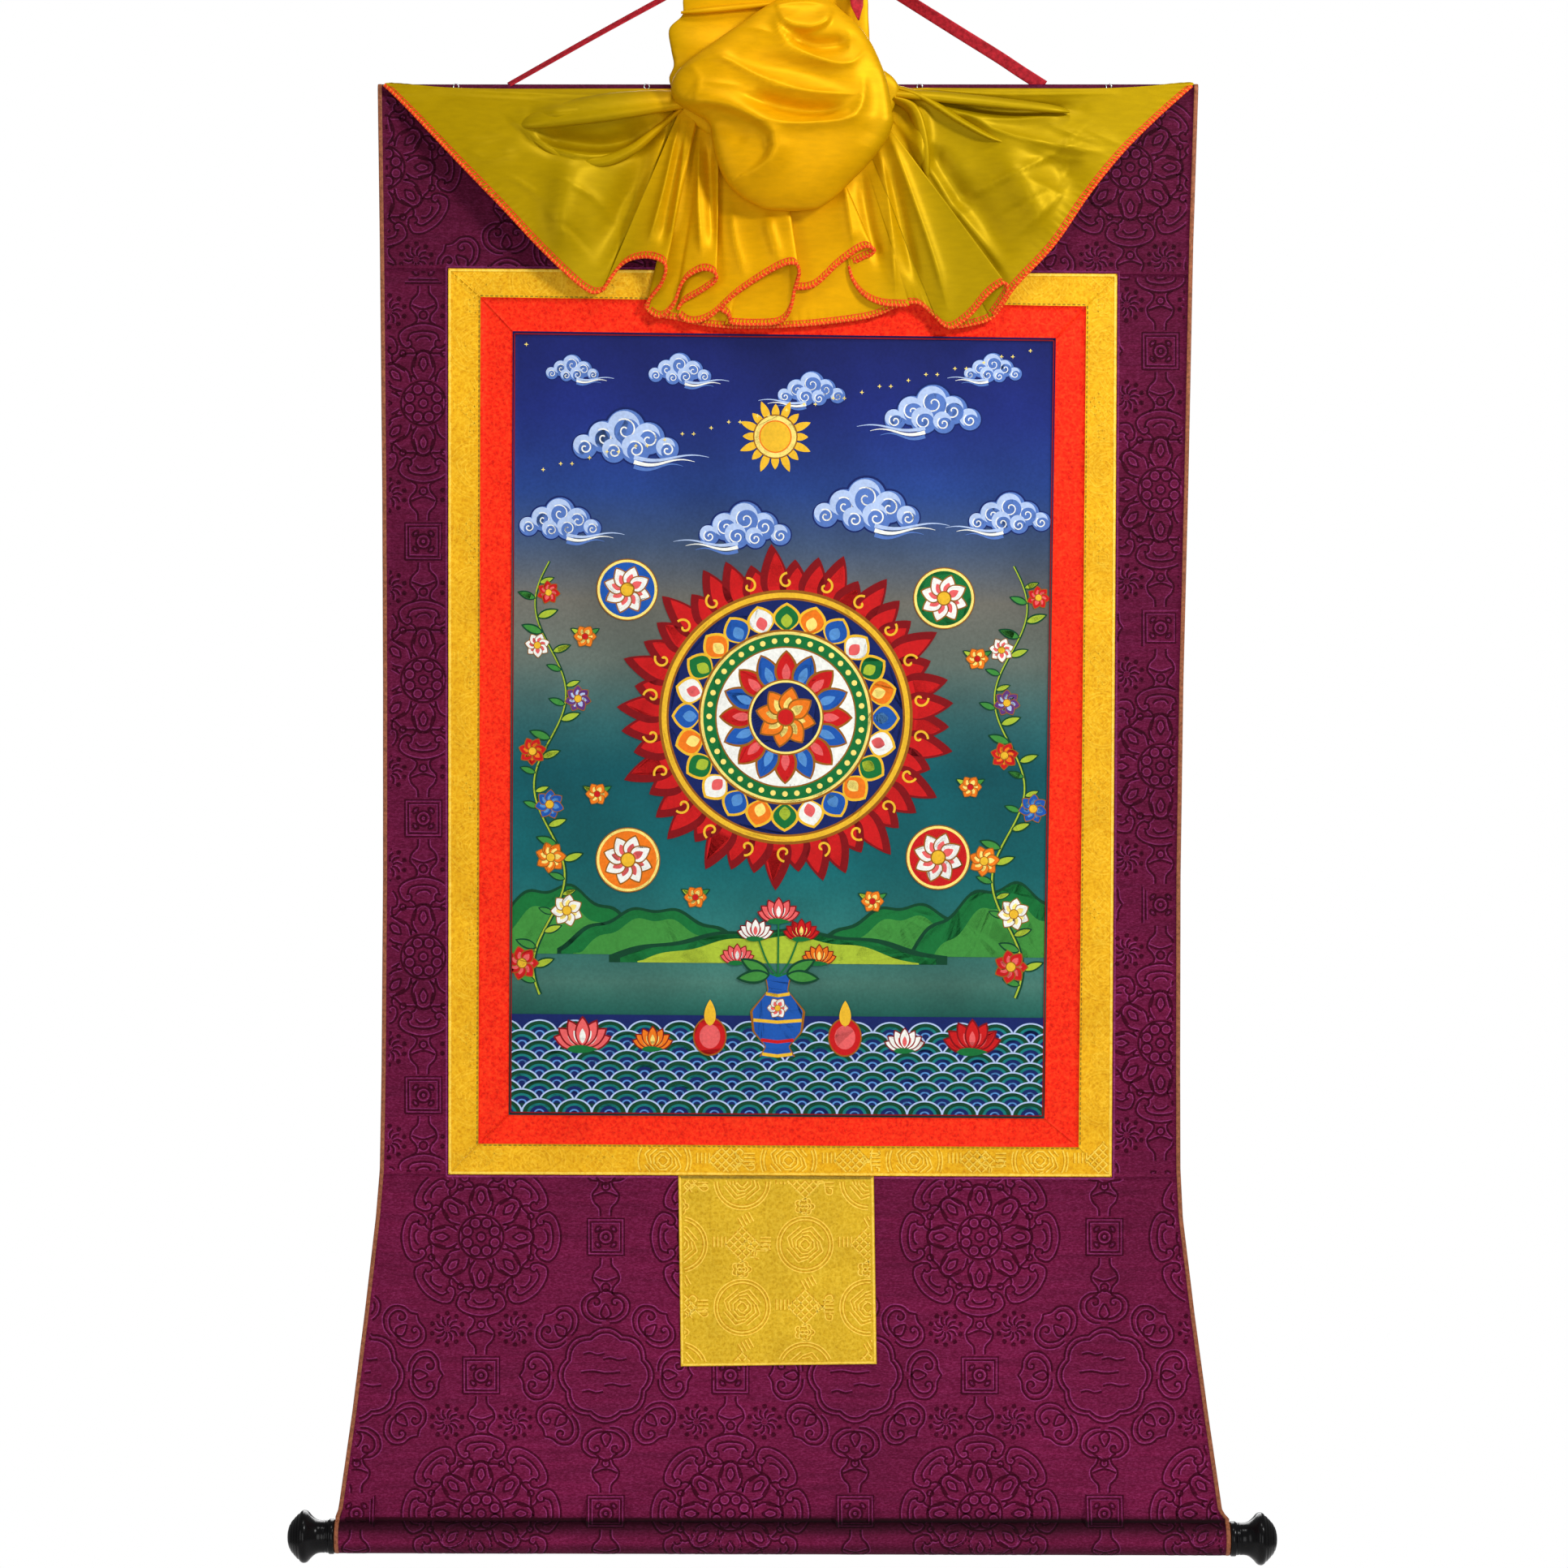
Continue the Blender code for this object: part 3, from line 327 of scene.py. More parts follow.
finishes["yellow"] = brocadeFinish("yellowBrocade", (232, 170, 14), (246, 194, 40), (208, 140, 4))
finishes["patch"] = brocadeFinish("patchBrocade", (214, 170, 28), (232, 194, 56), (190, 144, 12))
# the raised threads, drawn bright where they catch the light, and the painted highlights on the turned edges
finishes["yellowLight"] = brocadeFinish("yellowThreadHighlight", (250, 206, 66), (255, 222, 100), (230, 180, 40))
finishes["yellowFaint"] = brocadeFinish("yellowFaintThread", (240, 182, 28), (252, 204, 56), (222, 160, 14))
# painted shade: the dark line beside each raised yellow thread
finishes["yellowDark"] = brocadeFinish("yellowThreadShade", (206, 146, 10), (224, 166, 30), (180, 120, 4))
finishes["red"] = brocadeFinish("redSilk", (250, 34, 6), (255, 66, 24), (205, 12, 0))


def plainThread(name, colour, roughness=0.55, scale=500.0):
    material, tree, shader = newFinish(name, linear(*colour), roughness, Specular_IOR_Level=0.2)
    place = objectPlace(tree)
    fine = noiseOf(tree, place, scale, 2.0, 0.6)
    low = tuple(c * 0.62 for c in linear(*colour))
    high = tuple(min(1.0, c * 1.3 + 0.01) for c in linear(*colour))
    tree.links.new(rampOf(tree, fine, [(0.3, low), (0.7, high)]), shader.inputs["Base Color"])
    bumpOf(tree, shader, [(fine, 0.4, 0.2)])
    return material


finishes["copper"] = plainThread("copperBraid", (142, 82, 50))
finishes["crimson"] = plainThread("crimsonRibbon", (166, 4, 26), 0.5, 300.0)
finishes["hem"] = plainThread("orangeHem", (244, 60, 0), 0.6)
finishes["hemStitch"] = plainThread("paleStitch", (255, 150, 30), 0.6)
# olive stitches, also a painted shadow along the patch's top edge
finishes["olive"] = plainThread("oliveStitchAndShadow", (150, 120, 20), 0.6)


def paintFinish():  # colours come from the brush work's own points
    material, tree, shader = newFinish("paintedCloth", (0.5, 0.5, 0.5), 0.6, Specular_IOR_Level=0.12)
    place = objectPlace(tree)
    ink = addNode(tree, "ShaderNodeAttribute", attribute_name="ink")
    fine = noiseOf(tree, place, 500.0, 2.0)
    cloud = noiseOf(tree, place, 40.0, 3.0)
    body = timesShade(tree, ink.outputs["Color"], fine, grey(0.3, 0.9), grey(0.7, 1.06))
    body = timesShade(tree, body, cloud, grey(0.3, 0.92), grey(0.7, 1.05))
    tree.links.new(body, shader.inputs["Base Color"])
    bumpOf(tree, shader, [(weaveOf(tree, place, 0.7), 0.12, 0.1), (fine, 0.1, 0.1)])
    return material


finishes["paint"] = paintFinish()


def silkFinish():
    material, tree, shader = newFinish("veilSatin", linear(222, 178, 4), 0.48, Specular_IOR_Level=0.2,
                                       Specular_Tint=(1.0, 0.86, 0.3, 1.0), Metallic=0.25)
    place = objectPlace(tree)
    warm = addNode(tree, "ShaderNodeAttribute", attribute_name="warm")
    streaks = noiseOf(tree, place, 90.0, 3.0, 0.55, (1.0, 1.0, 3.5))
    body = mixOf(tree, warm.outputs["Fac"], linear(170, 139, 0), linear(222, 160, 0))
    body = timesShade(tree, body, streaks, (0.3, 0.93, 0.93, 0.9), (0.7, 1.05, 1.05, 1.03))
    tree.links.new(body, shader.inputs["Base Color"])
    fine = noiseOf(tree, place, 700.0, 1.0)
    creases = noiseOf(tree, place, 30.0, 4.0, 0.6, (1.0, 1.0, 0.4))
    bumpOf(tree, shader, [(creases, 0.05, 1.0), (fine, 0.22, 0.12)])
    return material


finishes["silk"] = silkFinish()


def lacquerFinish():
    material, tree, shader = newFinish("blackLacquer", (0.008, 0.008, 0.009), 0.2, Specular_IOR_Level=0.12)
    place = objectPlace(tree)
    wear = noiseOf(tree, place, 80.0, 4.0)
    tree.links.new(rampOf(tree, wear, [(0.3, (0.003, 0.003, 0.0035)), (0.8, (0.007, 0.0065, 0.0065))]),
                   shader.inputs["Base Color"])
    bumpOf(tree, shader, [(wear, 0.03, 0.1)])
    return material


finishes["lacquer"] = lacquerFinish()


def woodFinish():
    material, tree, shader = newFinish("plainWood", (0.4, 0.26, 0.14), 0.6)
    place = objectPlace(tree)
    grain = noiseOf(tree, place, 40.0, 5.0, 0.6, (0.15, 2.0, 2.0))
    tree.links.new(rampOf(tree, grain, [(0.3, (0.28, 0.17, 0.085)), (0.7, (0.47, 0.32, 0.18))]),
                   shader.inputs["Base Color"])
    bumpOf(tree, shader, [(grain, 0.2, 0.4)])
    return material


finishes["wood"] = woodFinish()


def steelFinish():
    material, tree, shader = newFinish("ringSteel", (0.62, 0.62, 0.64), 0.28, Metallic=1.0)
    place = objectPlace(tree)
    scratches = noiseOf(tree, place, 300.0, 3.0)
    bumpOf(tree, shader, [(scratches, 0.1, 0.05)])
    return material


finishes["steel"] = steelFinish()
print("finishes made")


camera = {"distance": 3200.0, "middle": (-5.6, -652.9), "frame": 1197.8}


def addCamera():
    lens = bpy.data.cameras.new("camera")
    lens.sensor_width = 36.0
    lens.lens = 36.0 * camera["distance"] / camera["frame"]
    lens.clip_start, lens.clip_end = 0.05, 50.0
    item = bpy.data.objects.new("camera", lens)
    item.location = (camera["middle"][0] * mm, -camera["distance"] * mm, camera["middle"][1] * mm)
    item.rotation_euler = (math.pi / 2, 0.0, 0.0)
    bpy.context.scene.collection.objects.link(item)
    bpy.context.scene.camera = item


floorPlan = {"radius": 1000.0, "height": -1460.0, "corners": 96}


def addFloor():
    mesh = bpy.data.meshes.new("floor")
    corners = floorPlan["corners"]
    turns = [2 * math.pi * k / corners for k in range(corners)]
    r, z = floorPlan["radius"] * mm, floorPlan["height"] * mm
    mesh.from_pydata([(r * math.cos(a), r * math.sin(a), z) for a in turns], [], [tuple(range(corners))])
    mesh.materials.append(newFinish("paleFloor", (0.86, 0.86, 0.86), 0.7)[0])
    item = bpy.data.objects.new("floor", mesh)
    bpy.context.scene.collection.objects.link(item)


lamps = {  # place, (width, height), watts and the point looked at
    "keyRight": ((1250.0, -1250.0, 500.0), (300.0, 300.0), 27.0, (0.0, 0.0, -600.0)),
    "softFront": ((300.0, -2700.0, -850.0), (900.0, 1500.0), 19.0, (0.0, 0.0, -700.0)),
    "fillLeft": ((-1900.0, -1900.0, -700.0), (900.0, 1700.0), 15.0, (0.0, 0.0, -700.0)),
    "topStrip": ((100.0, -700.0, 1100.0), (500.0, 300.0), 9.0, (0.0, 0.0, -300.0)),
    "backSoft": ((0.0, 2400.0, 300.0), (1800.0, 1800.0), 60.0, (0.0, 0.0, -600.0)),
}
studio = {"backdrop": 1.0, "ambient": 0.2}


def addLight():
    world = bpy.data.worlds.new("studio")
    world.use_nodes = True
    tree = world.node_tree
    backdrop = tree.nodes["Background"]
    backdrop.inputs["Color"].default_value = (1.0, 1.0, 1.0, 1.0)
    backdrop.inputs["Strength"].default_value = studio["backdrop"]
    ambient = addNode(tree, "ShaderNodeBackground", in_Strength=studio["ambient"])
    ambient.inputs["Color"].default_value = (1.0, 1.0, 1.0, 1.0)
    seen = addNode(tree, "ShaderNodeLightPath").outputs["Is Camera Ray"]
    mix = addNode(tree, "ShaderNodeMixShader")
    tree.links.new(seen, mix.inputs[0])
    tree.links.new(ambient.outputs[0], mix.inputs[1])
    tree.links.new(backdrop.outputs[0], mix.inputs[2])
    tree.links.new(mix.outputs[0], tree.nodes["World Output"].inputs["Surface"])
    bpy.context.scene.world = world
    bpy.context.scene.view_settings.view_transform = "Standard"
    for name, (place, size, watts, target) in lamps.items():
        lamp = bpy.data.lights.new(name, "AREA")
        lamp.shape = "RECTANGLE"
        lamp.size, lamp.size_y, lamp.energy = size[0] * mm, size[1] * mm, watts
        item = bpy.data.objects.new(name, lamp)
        away = np.array(target) - np.array(place)
        item.location = [c * mm for c in place]
        yaw = math.atan2(away[1], away[0]) - math.pi / 2
        pitch = math.atan2(away[2], math.hypot(away[0], away[1]))
        item.rotation_euler = (math.pi / 2 + pitch, 0.0, yaw)
        bpy.context.scene.collection.objects.link(item)


addCamera()
addFloor()
addLight()
print("camera, floor and light made")


ribbonPlan = {
    "width": 9.4, "thick": 0.9,
    "left": [(-216.4, 4, -118.2), (-207.6, 4, -113.2), (-202, 3.8, -110.1), (-182, 3.6, -98.8), (-142, 3, -76.4),
             (-102, 2.4, -54.6), (-62, 1.8, -32.8), (-28, 1.4, -14.6), (-14, 1.2, -8),
             (-5.5, 1.2, -5.3), (2, 1.2, -4.7), (9.5, 1.2, -5.5), (18, 1.3, -9.4), (34, 1.6, -19.4)],
    "right": [(54, 2, -32), (91, 2.6, -55), (128, 3.2, -78), (158, 3.6, -96.6),
              (174, 3.8, -107.2), (183.6, 4, -113.3), (193.2, 4, -119.4)],
    "tail": [(44.3, -6.6, -29.3), (43.5, -11.6, -30.8), (46, -17, -34.5), (49.2, -21.4, -40.5),
             (50, -22.6, -49), (49.6, -24.6, -60), (51, -25, -74)],
    "leftTurn": [(0, 58), (0.8, 50), (0.9, 10), (1, 10)],     # degrees out of the picture's plane
    "rightTurn": [(0, 12), (0.5, 20), (1, 38)],
    "tailTurn": [(0, 80), (0.4, 20), (1, 0)],
    "tailTaper": [(0, 1), (0.6, 1.15), (0.8, 1), (1, 0.1)],
}


def ribbonStrip(name, route, turns, stands, taper=None):
    count = max(60, int(sum(math.dist(a, b) for a, b in zip(route, route[1:])) / 1.5))
    line = softLine(route, count)
    share = np.linspace(0, 1, count)
    along = unit(np.gradient(line, axis=0))
    back = unit(np.array([0.0, 1.0, 0.0]) - along * along[:, 1:2])
    level = np.cross(along, back)
    turn = np.radians(between(turns, share)[:, 0])[:, None]
    wide = level * np.cos(turn) + back * np.sin(turn)
    face = np.cross(along, wide)
    half = ribbonPlan["width"] / 2 * (between(taper, share) if taper else 1.0)
    cross = []
    for u, t in ((-1, 0.2), (-0.85, 0.5), (-0.5, 0.42), (0, 0.4), (0.5, 0.42), (0.85, 0.5), (1, 0.2),
                 (1, -0.2), (0.85, -0.5), (0.5, -0.42), (0, -0.4), (-0.5, -0.42), (-0.85, -0.5), (-1, -0.2)):
        cross.append(line + wide * u * half + face * (t * ribbonPlan["thick"]))
    return addPiece(name, *ringsOf(np.stack(cross, 1)), [finishes["crimson"]], "crimson_ribbon", stands)


def ribbonKnot():
    start, end = np.array(ribbonPlan["left"][-1]), np.array(ribbonPlan["right"][0])
    line = (end - start) / np.linalg.norm(end - start)
    middle, half = (start + end) / 2, np.linalg.norm(end - start) / 2 - 0.3
    side = np.array([0.0, 1.0, 0.0])
    up = np.cross(line, side)
    t, a = np.meshgrid(np.linspace(-1, 1, 40), np.linspace(0, 2 * np.pi, 64, endpoint=False), indexing="ij")
    radius = 4.6 + 2.6 * np.sqrt(np.maximum(0, 1 - t * t))
    radius += 0.5 * np.sin(2 * a + 5.0 * t) * (1 - t * t) + 0.35 * np.sin(5 * a - 7 * t) * (1 - t * t)
    rings = (middle + line * (half * t)[..., None] + side * (radius * np.cos(a))[..., None]
             + up * (radius * np.sin(a))[..., None])
    return addPiece("knotOfRibbon", *ringsOf(rings), [finishes["crimson"]], "crimson_ribbon", ["ribbon_knot"])


knot = ribbonKnot()
tail = ribbonStrip("ribbonTail", ribbonPlan["tail"], ribbonPlan["tailTurn"], ["ribbon_tail"], ribbonPlan["tailTaper"])
strand = ribbonStrip("ribbonLeft", ribbonPlan["left"], ribbonPlan["leftTurn"], ["hanging_ribbon"])
strand = ribbonStrip("ribbonRight", ribbonPlan["right"][::-1], ribbonPlan["rightTurn"], ["hanging_ribbon_end"])
print("ribbon made")


mount = {
    "gap": 0.3, "seam": 0.01, "thick": 1.5, "patchThick": 1.2, "piping": 3.2, "topEdge": -117.8, "frontStart": -123.8,
    "rodHeight": -1228.6, "rodDrop": 0.9, "rodHalf": 340.0, "rodRadius": 10.8, "rollEdge": -1240.0,
    "battenDepth": 6.0, "battenHeight": 24.0, "fillet": 4.0, "flap": 16.0, "slope": 15.0, "seamReach": 300.0,
    "sides": [(-117.8, -316.0, 311.0), (-240.0, -314.3, 307.0), (-426.0, -312.5, 303.2), (-575.0, -311.9, 299.5),
              (-723.0, -311.9, 297.3), (-872.0, -313.0, 297.0), (-947.0, -314.3, 297.2), (-984.0, -317.4, 299.0),
              (-1058.0, -326.0, 308.0), (-1133.0, -335.4, 318.2), (-1207.0, -346.0, 329.0),
              (-1216.0, -348.2, 334.4), (-1260.0, -348.2, 334.4)],
    "yellow": [(-262.0, -259.2), (248.8, -263.4), (244.6, -952.9), (-261.8, -950.9)],
    "red": [(-237.3, -281.0), (225.2, -288.0), (219.4, -930.3), (-239.0, -927.6)],
    "picture": [(-212.8, -307.0), (202.0, -312.3), (193.3, -908.4), (-215.8, -905.6)],
    "patch": [(-86.2, -951.9), (62.9, -952.5), (65.1, -1095.6), (-84.3, -1097.4)],
}
clothPlan = {
    "waves": [(0.35, 210.0, 20.0, 0.4), (0.25, 90.0, 240.0, 2.0), (0.18, 60.0, 75.0, 4.1)],  # depth, pitch x, z, start
    "waveShare": 0.6, "calmReach": 25.0, "puckerDepth": 0.10, "puckerReach": 7.0, "puckerPitch": 18.0,
    "rollClear": 20.0, "endFade": 40.0,
}


def clothWave(x, z):  # how the whole hung cloth rises and falls, in y
    total = np.zeros(np.shape(x))
    for depth, wideX, wideZ, start in clothPlan["waves"]:
        total = total + depth * np.sin(x / wideX * 2 * np.pi + start) * np.sin(z / wideZ * 2 * np.pi / 4 + start)
    corners, calm = mount["yellow"], mount["picture"]  # the picture hangs flat, the seams pull the cloth
    away = lineDistance(x, z, corners + corners[:1])[0]
    inX = np.minimum(x - calm[3][0], calm[1][0] - x)
    inZ = np.minimum(z - calm[2][1], calm[0][1] - z)
    total = total * np.clip(-np.minimum(inX, inZ) / clothPlan["calmReach"], 0, 1)
    pucker = np.exp(-(away / clothPlan["puckerReach"]) ** 2) * np.sin((x + z) / clothPlan["puckerPitch"] * 2 * np.pi)
    total = total * clothPlan["waveShare"] + clothPlan["puckerDepth"] * pucker
    ends = np.minimum(mount["frontStart"] - z, z - mount["rodHeight"] - clothPlan["rollClear"])
    return total * np.clip(ends / clothPlan["endFade"], 0, 1)


def sideEdge(z, side):
    return between(mount["sides"], z)[..., 0 if side < 0 else 1]


def panelEdge(z, side):
    return sideEdge(z, side) - side * (mount["piping"] + mount["seam"])


def seamHeight(x, left, right):
    return left[1] + (right[1] - left[1]) * (x - left[0]) / (right[0] - left[0])


def topSeam(x):
    return seamHeight(x, mount["yellow"][0], mount["yellow"][1])


def bottomSeam(x):
    return seamHeight(x, mount["yellow"][3], mount["yellow"][2])


def frameSide(z, side):  # the yellow frame's left or right edge
    top, bottom = (mount["yellow"][0], mount["yellow"][3]) if side < 0 else mount["yellow"][1:3]
    return top[0] + (bottom[0] - top[0]) * (z - top[1]) / (bottom[1] - top[1])


def rodHeight(x):
    return mount["rodHeight"] - mount["rodDrop"] * x / mount["rodHalf"]


def topSleeve():  # (y, z) from the glued end at the back, over the batten, to the front
    radius = mount["battenDepth"] / 2 + mount["gap"] + mount["thick"] / 2
    centre = mount["topEdge"] - mount["thick"] / 2 - radius
    low = centre - (mount["battenHeight"] - mount["battenDepth"])
    flapY = mount["thick"] + mount["gap"]
    line = [(flapY, low - mount["slope"] - mount["flap"] * (1 - k / 3)) for k in range(3)]
    for t in np.linspace(1, 0, 10):
        soft = t * t * (3 - 2 * t)
        line.append((2 * radius + (flapY - 2 * radius) * soft, low - mount["slope"] * t))
    for angle in np.linspace(0, np.pi, 19):
        line.append((radius + radius * math.cos(angle), centre + radius * math.sin(angle)))
    return np.array(line)


def bottomSleeve():  # (y, height over the rod's axis) from where the cloth leaves the plane
    radius = mount["rodRadius"] + mount["gap"] + mount["thick"] / 2
    flapY, fillet = mount["thick"] + mount["gap"], mount["fillet"]
    frontH = math.sqrt(radius ** 2 + 2 * radius * fillet)
    backH = math.sqrt((radius + fillet) ** 2 - (flapY + fillet) ** 2)
    frontTurn, backTurn = math.asin(frontH / (radius + fillet)), math.asin(backH / (radius + fillet))
    line = [(-fillet + fillet * math.cos(a), frontH - fillet * math.sin(a)) for a in np.linspace(0, frontTurn, 9)]
    start, end = math.pi / 2 - frontTurn, 2 * math.pi - (math.pi / 2 - backTurn)
    line += [(-radius * math.sin(a), radius * math.cos(a)) for a in np.linspace(start, end, 61)[1:-1]]
    line += [(flapY + fillet - fillet * math.cos(a), backH - fillet * math.sin(a)) for a in np.linspace(backTurn, 0, 9)]
    line += [(flapY, backH + mount["flap"] * k / 3) for k in range(1, 4)]
    return np.array(line)


def acrossPanel(z, columns, y=None):  # one row of a panel, from edge to edge
    share = np.linspace(0, 1, columns)
    x = panelEdge(z, -1) + (panelEdge(z, 1) - panelEdge(z, -1)) * share
    zs = np.full(columns, float(z))
    return np.column_stack([x, clothWave(x, zs) if y is None else np.full(columns, y), zs])


def seamRow(seam, offset, columns):
    reach = mount["seamReach"]
    left, right = panelEdge(seam(-reach), -1), panelEdge(seam(reach), 1)
    x = np.linspace(left, right, columns)
    z = seam(x) + offset
    return np.column_stack([x, clothWave(x, z), z])


def sheetPiece(name, grid, thick, finish, slot, node, **extra):
    item = addPiece(name, *sheetOf(grid, thick), [finish], slot, [node])


def gridArea(grid):
    a, b, c, d = grid[:-1, :-1], grid[:-1, 1:], grid[1:, 1:], grid[1:, :-1]
    area = np.linalg.norm(np.cross(b - a, c - a), axis=2) / 2 + np.linalg.norm(np.cross(c - a, d - a), axis=2) / 2
    return float(area.sum()) * mm * mm


def blendRows(first, last, rows):  # rows from one to another, with the cloth's waves between
    t = np.linspace(0, 1, rows)[:, None, None]
    grid = first[None] + (last - first)[None] * t
    grid[..., 1] = clothWave(grid[..., 0], grid[..., 2])
    return grid


panelPlan = {"columns": 161, "topRows": 36, "bottomRows": 60, "sideRows": 160, "sideColumns": 12}


def topPanel():
    columns = panelPlan["columns"]
    rows = np.array([acrossPanel(z, columns, y) for y, z in topSleeve()])
    body = blendRows(rows[-1], seamRow(topSeam, mount["seam"], columns), panelPlan["topRows"])
    body[..., 0] = follow(body, columns)
    grid = np.concatenate([rows, body[1:]])
    sheetPiece("topPanel", grid, mount["thick"], finishes["purple"], "purple_brocade", "brocade_top",
               rests_on=["batten"])


def follow(body, columns):  # keeps the panel's columns between its slanting edges
    share = np.linspace(0, 1, columns)[None]
    z = body[..., 2]
    left, right = panelEdge(z[:, :1], -1), panelEdge(z[:, -1:], 1)
    return left + (right - left) * share


def bottomPanel(edging):
    columns = panelPlan["columns"]
    sleeve = bottomSleeve()
    first = seamRow(bottomSeam, -mount["seam"], columns)
    last = acrossPanel(mount["rollEdge"], columns, 0.0)
    last[:, 2] = rodHeight(last[:, 0]) + sleeve[0][1]
    body = blendRows(first, last, panelPlan["bottomRows"])
    body[..., 0] = follow(body, columns)
    rows = []
    for y, height in sleeve[1:]:
        row = acrossPanel(min(mount["rodHeight"] + height, mount["rollEdge"] if y < 1.0 else 0.0), columns, y)
        row[:, 2] = rodHeight(row[:, 0]) + height
        rows.append(row)
    grid = np.concatenate([body, np.array(rows)])
    sheetPiece("bottomPanel", grid, mount["thick"], finishes["purple"], "purple_brocade", "brocade_bottom",
               rests_on=["roller_rod"], with_pieces=edging)


def sidePanels():
    corners = {-1: (mount["yellow"][0], mount["yellow"][3]), 1: (mount["yellow"][1], mount["yellow"][2])}
    for side, name, node in ((-1, "leftPanel", "brocade_left"), (1, "rightPanel", "brocade_right")):
        top, bottom = corners[side]
        t = np.linspace(0, 1, panelPlan["sideRows"])
        inner = np.column_stack([top[0] + (bottom[0] - top[0]) * t + side * mount["seam"],
                                 np.zeros(len(t)), top[1] + (bottom[1] - top[1]) * t])
        zTop, zBottom = topSeam(panelEdge(top[1], side)), bottomSeam(panelEdge(bottom[1], side))
        outerZ = zTop + (zBottom - zTop) * t
        outer = np.column_stack([panelEdge(outerZ, side), np.zeros(len(t)), outerZ])
        inner[0, 2], inner[-1, 2] = topSeam(inner[0, 0]), bottomSeam(inner[-1, 0])
        share = np.linspace(0, 1, panelPlan["sideColumns"])[None, :, None]
        grid = inner[:, None] + (outer - inner)[:, None] * share
        grid[0, :, 2] -= mount["seam"]
        grid[-1, :, 2] += mount["seam"]
        grid[..., 1] = clothWave(grid[..., 0], grid[..., 2])
        if side < 0:
            grid = grid[:, ::-1]
        sheetPiece(name, grid, mount["thick"], finishes["purple"], "purple_brocade", node)


bindingPlan = {"step": 4.0, "fade": 30.0, "swell": 0.6}


def bindings():
    made = []
    for side, name, node in ((-1, "leftBinding", "edge_binding_left"), (1, "rightBinding", "edge_binding_right")):
        rows = [(float(sideEdge(z, side)), y, z) for y, z in topSleeve()]
        top, sleeve, step = rows[-1][2], bottomSleeve(), bindingPlan["step"]
        endX = float(sideEdge(mount["rollEdge"], side))
        low = float(rodHeight(endX) + sleeve[0][1])
        for z in np.arange(top - step, low + step / 2, -step):
            x = float(sideEdge(z, side))
            fade = min(1.0, (top - z) / bindingPlan["fade"], max(0.0, (z - low) / bindingPlan["fade"]))
            rows.append((x, float(clothWave(x, z)) * fade, z))
        for y, height in sleeve:
            x = float(sideEdge(min(mount["rodHeight"] + height, mount["rollEdge"] if y < 1.0 else 0.0), side))
            rows.append((x, y, rodHeight(endX) + height))
        line = np.array(rows)
        grid = np.stack([line - [side * mount["piping"] * u, 0, 0] for u in (1.0, 0.8, 0.5, 0.2, 0.0)], 1)
        if side < 0:
            grid = grid[:, ::-1]
        swell = np.array([0.0, 0.25, 0.4, 0.25, 0.0])
        normal = gridNormals(grid)
        thick = mount["thick"] / 2 + swell[None, :, None] * bindingPlan["swell"]
        front, back = grid + normal * thick, grid - normal * thick
        rings = np.concatenate([front, back[:, ::-1]], 1)
        made.append(addPiece(name, *ringsOf(rings), [finishes["copper"]], "copper_piping", [node]))
    return made


damaskPlan = {
    "pitch": (190.4, 211.4), "dark": 1.6, "light": 0.9, "lift": 0.12, "margin": 2.0, "lowest": -1262.0,
    "crevice": (2.6, 4.2),  # a strip of painted shade in the crevice: how far below the turn, and its width
    "origins": {"top": (-122.0, -182.0), "left": (-281.0, -362.0), "right": (282.0, -428.0), "bottom": (-46.5, -998.8)},
}


def ringLine(radius, count=40, lobes=0, swell=0.0, x=0.0, z=0.0):
    a = np.linspace(0, 2 * np.pi, count + 1)
    r = radius + swell * np.abs(np.cos(lobes / 2 * a)) if lobes else np.full(len(a), radius)
    return np.column_stack([x + r * np.cos(a), z + r * np.sin(a)])


def turned(line, angle, x=0.0, z=0.0):
    line = np.asarray(line, float)
    cos, sin = math.cos(angle), math.sin(angle)
    return np.column_stack([line[:, 0] * cos - line[:, 1] * sin + x, line[:, 0] * sin + line[:, 1] * cos + z])


def cloudHead():  # two curls under a crown, pointing along +X, about 30 across
    half = softLine([(-9, 0), (-8, 7), (-3, 13), (3.5, 13.5), (7, 9.5), (6.2, 5.2), (2.6, 5.0), (1.8, 8.0),
                     (4.0, 8.6)], 34, 2)
    crown = softLine([(-9, 0), (-6, 3.6), (-2, 3.0), (2, 0.8), (2.4, 0)], 12, 2)
    outer = softLine([(-12, 3), (-11, 10), (-5, 17), (4, 18), (10, 12), (11, 5), (14, 0)], 26, 2)
    lines = []
    for part in (half, crown, outer):
        lines += [part, part * [1, -1]]
    return lines


